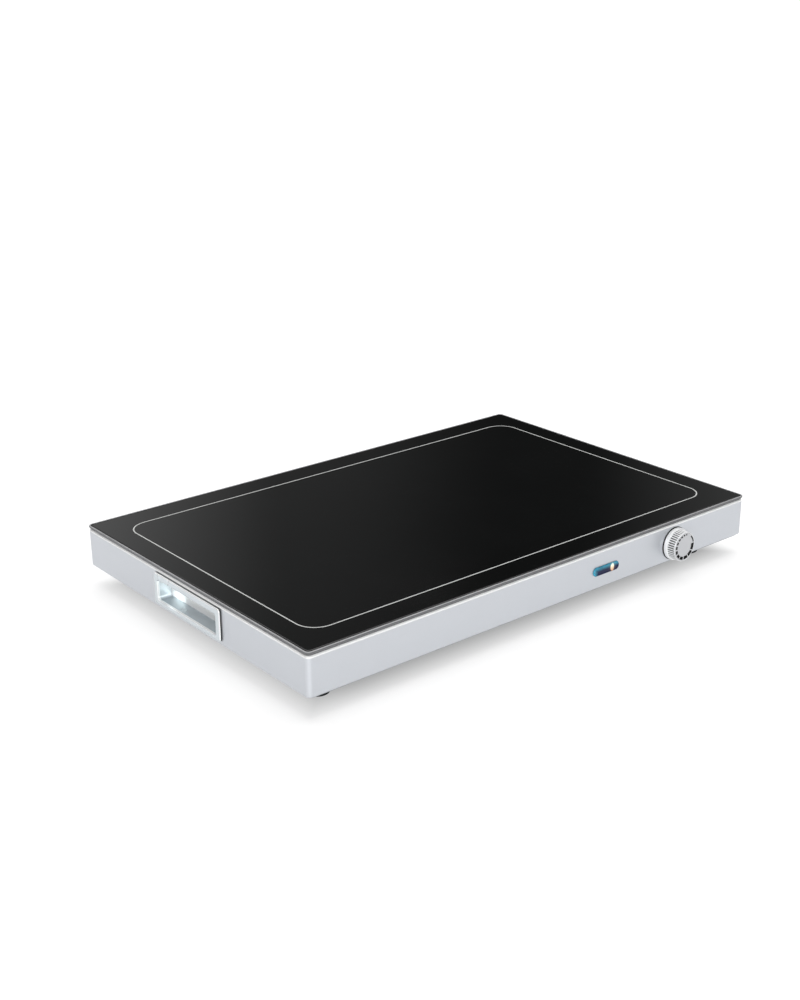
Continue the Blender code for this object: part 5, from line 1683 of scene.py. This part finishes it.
@dataclass
class Feet:
    """The four rubber feet, turned, each with a well for its screw."""

    top_radius: float = 12.5 * MM
    tread_radius: float = 11.0 * MM
    tread_edge: float = 0.8 * MM
    well: Pair = (5.5 * MM, 9.0 * MM)
    hole: float = 1.8 * MM
    groove: float = 0.5 * MM
    groove_level: float = 15.5 * MM
    groove_turn: Pair = (255.0, 105.0)
    edge_steps: int = 5
    steps: int = 64

    def build(self, shop: Workshop) -> None:
        """Make the feet.

        Args:
            shop: Where they go.
        """
        for corner in CORNERS:
            node = f"{corner}_foot"
            solid = Extent.of(node)
            rings = turned_rings(self._profile(solid.high[2]), self.steps)
            foot = loft(rings, closed=True).placed(Wall.TOP, solid.footing)
            shop.piece(f"{corner}_rubber_foot", foot, Palette.rubber, TRAY, (node,))

    def _profile(self, top: float) -> np.ndarray:
        """Run from the well's floor, out under the tread, up the side and back in along the top.

        Args:
            top: The height of the foot's top.

        Returns:
            The profile.
        """
        well_radius, well_depth = self.well
        edge, groove, level = self.tread_edge, self.groove, self.groove_level
        side = self.tread_radius + (self.top_radius - self.tread_radius) * level / top
        return profile_of(
            [self.hole, well_depth],
            [well_radius, well_depth],
            [well_radius, 0],
            [self.tread_radius - edge, 0],
            arc((self.tread_radius - edge, edge), edge, 270, 360, self.edge_steps),
            [side, level - groove],
            arc((side + groove / 4, level), groove, *self.groove_turn, self.edge_steps),
            [side, level + groove],
            [self.top_radius, top],
            [self.hole, top],
        )


@dataclass
class Screws:
    """The screws that can be seen: pan heads with a cross recess."""

    head_height: float = 1.8 * MM
    head_radius: float = 3.0 * MM
    shank_radius: float = 1.5 * MM
    crown: float = 0.7 * MM
    slot_half: Pair = (1.7 * MM, 0.42 * MM)
    slot_depth: float = 1.0 * MM
    slot_slope: float = 0.15 * MM
    hole_proud: float = 0.2 * MM
    crown_levels: int = 22
    crown_pole: float = 0.02
    steps: int = 64

    def hole(self, node: str, wall: Wall, depth: float) -> Surface:
        """A clearance hole behind one screw's head."""
        bar = rod(self.shank_radius + SEAT_GAP, -depth, self.hole_proud)
        return bar.placed(wall, self._seat(node, wall))

    def build(self, shop: Workshop, places: dict[str, Wall]) -> None:
        """Make the screws.

        Args:
            shop: Where they go.
            places: Each screw's node, and the wall that its head stands on.
        """
        for node, wall in places.items():
            solid = Extent.of(node)
            length = 2 * (solid.half @ np.abs(wall.outward)) - self.head_height
            screw = loft(self._rings(length)).placed(wall, self._seat(node, wall))
            shop.piece(f"{node}_pan_head", screw, Palette.zinc, TRAY, (node,))

    def _seat(self, node: str, wall: Wall) -> np.ndarray:
        """Where the head meets what it holds."""
        return Extent.of(node).outermost(wall) - wall.outward * self.head_height

    def _rings(self, length: float) -> np.ndarray:
        """Shape the screw from its point, out under the head and over its crown to the middle.

        The crown falls away as a cosine towards the rim. Inside the cross its height drops by the
        slot's depth, over a narrow slope, which makes the recess.

        Args:
            length: The shank's length.

        Returns:
            The screw's rings.
        """
        shank, rim = self.shank_radius, self.head_radius
        body = profile_of(
            [shank / 3, -length],
            [shank, -length + shank],
            [shank, 0],
            [rim - self.crown / 4, 0],
            [rim, self.crown / 4],
            [rim, self.head_height - self.crown],
        )
        share = np.linspace(1, self.crown_pole, self.crown_levels)[1:]
        height = self.head_height - self.crown * (1 - np.cos(share**2 * np.pi / 2))
        crown = np.stack([rim * share, height], axis=-1)
        rings = turned_rings(np.concatenate([body, crown]), self.steps)
        reach, width = self.slot_half
        across, up = np.abs(rings[..., 0]), np.abs(rings[..., 1])
        along = np.clip((reach - np.maximum(across, up)) / self.slot_slope, 0, 1)
        arm = along * np.clip((width - np.minimum(across, up)) / self.slot_slope, 0, 1)
        arm[: len(body)] = 0
        rings[..., 2] -= self.slot_depth * arm
        return rings


@dataclass
class PowerInlet:
    """The appliance inlet in the rear wall, with its three blades."""

    half: Pair = (25.0 * MM, 13.5 * MM)
    corner: float = 3.0 * MM
    edge: float = 0.8 * MM
    proud: float = 2.5 * MM
    body_half: Pair = (14.0 * MM, 11.0 * MM)
    body_depth: float = 20.0 * MM
    socket_half: Pair = (12.25 * MM, 8.25 * MM)
    socket_depth: float = 16.5 * MM
    lip: float = 0.5 * MM
    clearance: float = 0.3 * MM
    overrun: float = 3.0 * MM
    blade_tip: float = 0.7 * MM
    blade_corner: float = 0.3 * MM
    blade_ease: float = 0.1 * MM
    blade_steps: int = 4
    lip_steps: int = 4
    blades: tuple[str, ...] = ("live", "neutral", "earth")
    fixings: tuple[str, ...] = ("inlet_screw_1", "inlet_screw_2")

    def openings(self, housing: Extent, screws: Screws) -> list[Surface]:
        """Shape the housing's opening for the inlet's body, and its two screw holes.

        Args:
            housing: The housing's box.
            screws: The screws, for their holes.

        Returns:
            A block and two rods.
        """
        half, corner = grown(self.body_half, self.clearance), self.corner + self.clearance
        block = prism(half, corner, -self.overrun, self.overrun)
        return [block.placed(Wall.REAR, self._origin(housing)), *self._holes(screws)]

    def build(self, shop: Workshop, housing: Extent, screws: Screws) -> None:
        """Make the inlet and its blades.

        Args:
            shop: Where they go.
            housing: The housing's box.
            screws: The screws, for their holes.
        """
        inlet = loft(self._rings()).placed(Wall.REAR, self._origin(housing))
        obj = shop.piece("inlet_moulding", inlet, Palette.nylon, TRAY, ("power_inlet",))
        slots = [self._blade_slot(f"inlet_pin_{kind}", housing) for kind in self.blades]
        shop.cut(obj, Surface.joined(self._holes(screws) + slots))
        for kind in self.blades:
            node = f"inlet_pin_{kind}"
            shop.piece(f"inlet_blade_{kind}", self._blade(node), Palette.nickel, TRAY, (node,))

    def _holes(self, screws: Screws) -> list[Surface]:
        """The holes of the two screws that hold the inlet."""
        return [screws.hole(node, Wall.REAR, 2 * self.overrun) for node in self.fixings]

    @staticmethod
    def _origin(housing: Extent) -> np.ndarray:
        """The point of the rear wall at the inlet's middle."""
        return housing.beside(Wall.REAR, Extent.of("power_inlet").centre)

    def _rings(self) -> np.ndarray:
        """Shape the inlet up its body's outside, over the flange and down to the socket's floor.

        Returns:
            Its rings.
        """
        body = profile_of([0, -self.body_depth], [0, SEAT_GAP])
        flange = profile_of(
            [0, SEAT_GAP],
            [0, self.proud - self.edge],
            arc((self.edge, self.proud - self.edge), self.edge, 180, 90),
            [2 * self.edge, self.proud],
        )
        lip, floor = self.lip, self.proud - self.socket_depth
        socket = profile_of(
            [-2 * lip, self.proud],
            arc((-lip, self.proud - lip), lip, 90, 0, self.lip_steps),
            [0, floor + lip],
            [lip, floor],
        )
        return np.concatenate(
            [
                rounded_rings(self.body_half, self.corner, body),
                rounded_rings(self.half, self.corner, flange),
                rounded_rings(self.socket_half, self.corner, socket),
            ]
        )

    def _blade_slot(self, node: str, housing: Extent) -> Surface:
        """Shape the slot in the socket's floor that a blade stands in.

        Args:
            node: The blade's solid.
            housing: The housing's box.

        Returns:
            The slot's block.
        """
        solid = Extent.of(node)
        half = grown((solid.half[0], solid.half[2]), self.clearance)
        low = -self.body_depth - self.overrun
        high = self.proud - self.socket_depth + self.overrun / 3
        middle = housing.beside(Wall.REAR, solid.centre)
        return prism(half, self.clearance, low, high).placed(Wall.REAR, middle)

    def _blade(self, node: str) -> Surface:
        """Shape a flat contact blade with a bevelled tip.

        Args:
            node: The blade's solid.

        Returns:
            The blade, in place.
        """
        solid = Extent.of(node)
        tip, (half, length, height) = self.blade_tip, solid.half
        bevel = [[0, length - tip], [tip / 2, length - tip / 3], [tip, length]]
        profile = profile_of([0, -length], bevel)
        rings = rounded_rings(
            (half, height), self.blade_corner, profile, steps=self.blade_steps, ease=self.blade_ease
        )
        return loft(rings).placed(Wall.REAR, solid.centre)


@dataclass
class InnerWorks:
    """The solids inside the tray, which keep their meshes."""

    sides: tuple[str, str] = ("left", "right")

    def build(self, shop: Workshop) -> None:
        """Give each solid its finish.

        Args:
            shop: Where the solids are.
        """
        palette = Palette
        rails = [f"{side}_support_rail" for side in self.sides]
        shop.finish_solids(palette.galvanised, "base_plate", *rails)
        shop.finish_solids(palette.rubber, "glass_seal")
        shop.finish_solids(palette.aluminium, "heat_spreader", "element_foil", "heat_shield")
        shop.finish_solids(palette.fibre, "insulation_mat")
        shop.finish_solids(palette.silicone, "heating_wire")
        shop.finish_solids(palette.nylon, "thermostat_body", "lamp_holder")
        shop.finish_solids(palette.brass, "thermostat_shaft", "thermostat_nut", "earth_screw")
        shop.finish_solids(palette.copper, "capillary_bulb")
        shop.finish_solids(palette.zinc, "bulb_clip", "thermal_fuse")
        for side in self.sides:
            names = (f"{side}_handle_clamp", f"{side}_handle_screw_1", f"{side}_handle_screw_2")
            shop.finish_solids(palette.zinc, *names)
        shop.finish_solids(palette.earth, "earth_lead")
        shop.finish_solids(
            palette.braid,
            "terminal_block",
            "live_lead",
            "neutral_lead",
            "front_heater_lead",
            "rear_heater_lead",
            "lamp_live_lead",
            "lamp_neutral_lead",
        )


@dataclass
class FoodWarmerTray:
    """The whole tray, in its sub-assemblies."""

    glass: GlassTop = field(default_factory=GlassTop)
    housing: Housing = field(default_factory=Housing)
    handles: HandleCups = field(default_factory=HandleCups)
    knob: ControlKnob = field(default_factory=ControlKnob)
    window: IndicatorWindow = field(default_factory=IndicatorWindow)
    feet: Feet = field(default_factory=Feet)
    screws: Screws = field(default_factory=Screws)
    inlet: PowerInlet = field(default_factory=PowerInlet)
    inner: InnerWorks = field(default_factory=InnerWorks)
    base_screws: int = 6
    screw_reach: float = 4.0 * MM

    def build(self, shop: Workshop) -> None:
        """Make every sub-assembly in order.

        Args:
            shop: Where they go.
        """
        shell = Extent.of("housing")
        under = [f"base_screw_{number}" for number in range(1, self.base_screws + 1)]
        cutters = [
            *self.handles.openings(shell),
            self.knob.opening(shell),
            self.window.opening(shell),
            *self.inlet.openings(shell, self.screws),
            *(self.screws.hole(node, Wall.UNDER, self.screw_reach) for node in under),
        ]
        self.housing.build(shop, cutters)
        self.glass.build(shop)
        self.handles.build(shop, shell)
        self.knob.build(shop, shell)
        self.window.build(shop, shell)
        self.feet.build(shop)
        self.inlet.build(shop, shell, self.screws)
        under += [f"{corner}_foot_screw" for corner in CORNERS]
        places = dict.fromkeys(under, Wall.UNDER) | dict.fromkeys(self.inlet.fixings, Wall.REAR)
        self.screws.build(shop, places)
        self.inner.build(shop)


# Studio


@dataclass(frozen=True)
class Panel:
    """A soft light panel: its place, what it is turned to, its sides and its power in watts."""

    name: str
    place: Triple
    aim: Triple
    size: Pair
    power: float


@dataclass
class Studio:
    """A pale floor, soft light, dark flags for the glass, a snoot for one pocket, and the camera.

    The floor glows by itself where it is the background. floor_glow is how much under the tray and
    in the open; the lower glow under and near the tray is a painted shadow over the real one. It
    changes over shade_band, measured from the walls' outline. Left of left_band, left_glow stands
    in for the first, painting that shadow lighter. Far out, over floor_fade, floor_lift is added.
    """

    eye: Triple = (-903.57 * MM, -1060.39 * MM, 607.73 * MM)
    azimuth: float = 39.365
    elevation: float = 20.914
    roll: float = -0.390
    lens: float = 53.38
    clip_end: float = 100.0
    panels: tuple[Panel, ...] = (
        Panel("overhead_panel", (0.7, 0.75, 1.7), (0.7, 0.75, 0.0), (2.8, 2.9), 42.0),
        Panel("camera_side_panel", (-1.5, -1.9, 0.32), (0.0, 0.0, 0.03), (1.4, 0.5), 24.0),
    )
    floor_size: float = 60.0
    floor_colour: str = "#ececec"
    floor_share: float = 0.47
    floor_glow: Pair = (0.26, 0.69)
    floor_lift: float = 0.34
    floor_fade: Pair = (0.45, 1.6)
    shade_band: Pair = (-46 * MM, 10 * MM)
    left_glow: float = 0.385
    left_band: Pair = (-270 * MM, -200 * MM)
    sky_light: Pair = (0.304, 0.56)
    sky_rise: Pair = (0.1, 0.9)
    sky_colour: str = "#ffffff"
    flag_radius: float = 4.0
    flag_levels: Pair = (0.6, 2.6)
    flag_steps: int = 48
    flag_tone: float = 0.02
    # Each a way across the studio, where the cards start and stop getting lighter, and how much
    flag_ramps: tuple[tuple[str, float, float, float], ...] = (
        ("Y", 2.8, 3.4, 0.09),
        ("Y", 3.35, 3.9, 0.55),
        ("X", 3.0, 3.6, 0.25),
    )
    snoot_from: Triple = (-1.05, -0.72, 0.40)
    snoot_at: Triple = (-0.268, 0.0385, 0.0315)
    snoot_cone: float = 0.95
    snoot_power: float = 105.0
    snoot_radius: float = 2 * MM
    snoot_colour: str = "#f2ffff"

    def build(self) -> None:
        """Make the floor, the lights and the camera."""
        self._floor()
        self._sky()
        self._flags()
        for panel in self.panels:
            self._panel(panel)
        self._snoot()
        self._camera()
        view = bpy.context.scene.view_settings
        view.view_transform = "Standard"
        view.look = "None"

    @staticmethod
    def _bare_tree(owner: bpy.types.Material | bpy.types.World) -> Tree:
        """Turn on a material's or a world's nodes, and clear them.

        Args:
            owner: The material or the world.

        Returns:
            Its empty node tree.
        """
        owner.use_nodes = True
        owner.node_tree.nodes.clear()
        return owner.node_tree

    @staticmethod
    def _background_ray(tree: Tree) -> Node:
        """Tell the rays that show the background: seen, mirrored or through glass.

        Args:
            tree: The node tree.

        Returns:
            1 for those rays, otherwise 0.
        """
        path = add_node(tree, "LightPath").outputs
        rays = {0: path["Is Camera Ray"], 1: path["Is Glossy Ray"]}
        seen = add_node(tree, "Math", rays, operation="MAXIMUM")
        rays = {0: seen, 1: path["Is Transmission Ray"]}
        return add_node(tree, "Math", rays, operation="MAXIMUM")

    @staticmethod
    def _beyond_outline(tree: Tree, place: Socket) -> Node:
        """Work out how far a place on the floor lies outside the tray's walls.

        The larger of the distances past the walls along X and along Y, each taken from the
        place's distance to the tray's middle.

        Args:
            tree: The node tree.
            place: The place.

        Returns:
            The distance, negative under the tray.
        """
        shell = Extent.of("housing")
        centre, half = tuple(shell.centre), tuple(shell.half)
        moved = add_node(tree, "VectorMath", {0: place, 1: centre}, operation="SUBTRACT")
        away = add_node(tree, "VectorMath", {0: moved}, operation="ABSOLUTE")
        past = add_node(tree, "VectorMath", {0: away, 1: half}, operation="SUBTRACT")
        parts = add_node(tree, "SeparateXYZ", {"Vector": past}).outputs
        return add_node(tree, "Math", {0: parts["X"], 1: parts["Y"]}, operation="MAXIMUM")

    def _floor(self) -> None:
        """Lay a matt sheet of pale paper, wide enough for the frame, whose soft shadow is partly
        painted.
        """
        half = self.floor_size / 2
        corners = np.array([[-half, -half, 0], [half, -half, 0], [half, half, 0], [-half, half, 0]])
        obj = into_scene("floor", Surface(corners, [[0, 1, 2, 3]]).mesh("floor"))
        paper = bpy.data.materials.new("pale_paper")
        tree = self._bare_tree(paper)
        shown = self._background_ray(tree)
        colour = np.array(linear(self.floor_colour))
        values = {"Factor": shown, "A": tuple(colour), "B": tuple(colour * self.floor_share)}
        tint = add_node(tree, "Mix", values, data_type="RGBA")
        matt = add_node(tree, "BsdfDiffuse", {"Color": tint})
        place = add_node(tree, "TexCoord").outputs["Object"]
        across = add_node(tree, "SeparateXYZ", {"Vector": place}).outputs["X"]
        reach = add_node(tree, "VectorMath", {0: place}, operation="LENGTH")
        under, open_floor = self.floor_glow
        # A lower glow under and near the tray is a painted shadow, less deep left of left_band
        values = span(across, self.left_band, (self.left_glow, under))
        painted_shadow_glow = result_of(add_node(tree, "MapRange", values, **EASED))
        values = span(self._beyond_outline(tree, place), self.shade_band, (painted_shadow_glow, open_floor))
        near = add_node(tree, "MapRange", values, **EASED)
        values = span(reach, self.floor_fade, (0.0, self.floor_lift))
        far = add_node(tree, "MapRange", values, **EASED)
        level = add_node(tree, "Math", {0: near, 1: far}, operation="ADD")
        share = add_node(tree, "Math", {0: shown, 1: level}, operation="MULTIPLY")
        glow = add_node(tree, "Emission", {"Strength": share})
        both = add_node(tree, "AddShader", {0: matt, 1: glow})
        add_node(tree, "OutputMaterial", {"Surface": both})
        obj.data.materials.append(paper)

    def _sky(self) -> None:
        """Make a dome that lights most from overhead, plain white where it is the background."""
        world = bpy.data.worlds.new("studio")
        tree = self._bare_tree(world)
        place = add_node(tree, "TexCoord").outputs["Generated"]
        height = add_node(tree, "SeparateXYZ", {"Vector": place}).outputs["Z"]
        rise = add_node(tree, "MapRange", span(height, self.sky_rise, self.sky_light), **EASED)
        values = {"Factor": self._background_ray(tree), "A": rise, "B": 1.0}
        strength = add_node(tree, "Mix", values, data_type="FLOAT")
        white = linear(self.sky_colour)
        sky = add_node(tree, "Background", {"Color": white, "Strength": strength})
        add_node(tree, "OutputWorld", {"Surface": sky})
        bpy.context.scene.world = world

    def _flags(self) -> None:
        """Stand dark cards all round the table, which only the polished faces mirror.

        Any black glass is photographed with such cards. These are lighter towards the back and
        the right, where the room's light reaches them.
        """
        low, high = self.flag_levels
        ends = np.array([[self.flag_radius, low], [self.flag_radius, high]])
        rings = turned_rings(ends, self.flag_steps)
        index = np.arange(self.flag_steps)
        after = np.roll(index, -1)
        faces = np.stack([index, after, after + len(index), index + len(index)], axis=-1).tolist()
        obj = into_scene("flags", Surface(rings.reshape(-1, 3), faces).mesh("flags"))
        card = bpy.data.materials.new("dark_card")
        tree = self._bare_tree(card)
        place = add_node(tree, "TexCoord").outputs["Object"]
        parts = add_node(tree, "SeparateXYZ", {"Vector": place}).outputs
        level: Node | float = self.flag_tone
        for axis, begin, stop, gain in self.flag_ramps:
            values = span(parts[axis], (begin, stop), (0.0, gain))
            more = add_node(tree, "MapRange", values, **EASED)
            level = add_node(tree, "Math", {0: level, 1: more}, operation="ADD")
        glow = add_node(tree, "Emission", {"Strength": level})
        add_node(tree, "OutputMaterial", {"Surface": glow})
        obj.data.materials.append(card)
        obj.visible_camera = obj.visible_diffuse = False
        obj.visible_transmission = obj.visible_shadow = False

    def _snoot(self) -> None:
        """Aim a narrow lamp into the near finger pocket, to light the far end of its back wall."""
        light = bpy.data.lights.new("pocket_snoot", "SPOT")
        light.spot_size, light.spot_blend = math.radians(self.snoot_cone), 1.0
        light.energy, light.color = self.snoot_power, linear(self.snoot_colour)[:3]
        light.shadow_soft_size = self.snoot_radius
        self._hang(light, self.snoot_from, self.snoot_at)

    def _panel(self, panel: Panel) -> None:
        """Hang a soft light panel.

        Args:
            panel: The panel.
        """
        light = bpy.data.lights.new(panel.name, "AREA")
        light.shape = "RECTANGLE"
        light.size, light.size_y = panel.size
        light.energy = panel.power
        self._hang(light, panel.place, panel.aim)

    @staticmethod
    def _hang(light: bpy.types.Light, place: Triple, aim: Triple) -> None:
        """Hang a light at a place and turn it to what it lights.

        Args:
            light: The light.
            place: Where it hangs.
            aim: The point that it lights.
        """
        obj = into_scene(light.name, light)
        obj.location = place
        obj.rotation_euler = (Vector(aim) - Vector(place)).to_track_quat("-Z", "Y").to_euler()

    def _camera(self) -> None:
        """Stand the camera where the photograph was taken from."""
        angles = (self.azimuth, self.elevation, self.roll)
        azimuth, elevation, roll = (math.radians(angle) for angle in angles)
        across, along = (turn(azimuth) * math.cos(elevation) for turn in (math.sin, math.cos))
        ahead = Vector((across, along, -math.sin(elevation)))
        level = Vector((math.cos(azimuth), -math.sin(azimuth), 0))
        upright = level.cross(ahead)
        right = math.cos(roll) * level + math.sin(roll) * upright
        up = math.cos(roll) * upright - math.sin(roll) * level
        camera = bpy.data.cameras.new("camera")
        camera.lens = self.lens
        camera.clip_end = self.clip_end
        obj = into_scene("camera", camera)
        turn = Matrix((right, up, -ahead)).transposed().to_4x4()
        obj.matrix_world = Matrix.Translation(self.eye) @ turn
        bpy.context.scene.camera = obj


def main() -> None:
    """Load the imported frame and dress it."""
    logging.basicConfig(level=logging.INFO, format="%(message)s")
    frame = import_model()
    FoodWarmerTray().build(Workshop(frame))
    Studio().build()


if __name__ == "__main__":
    main()
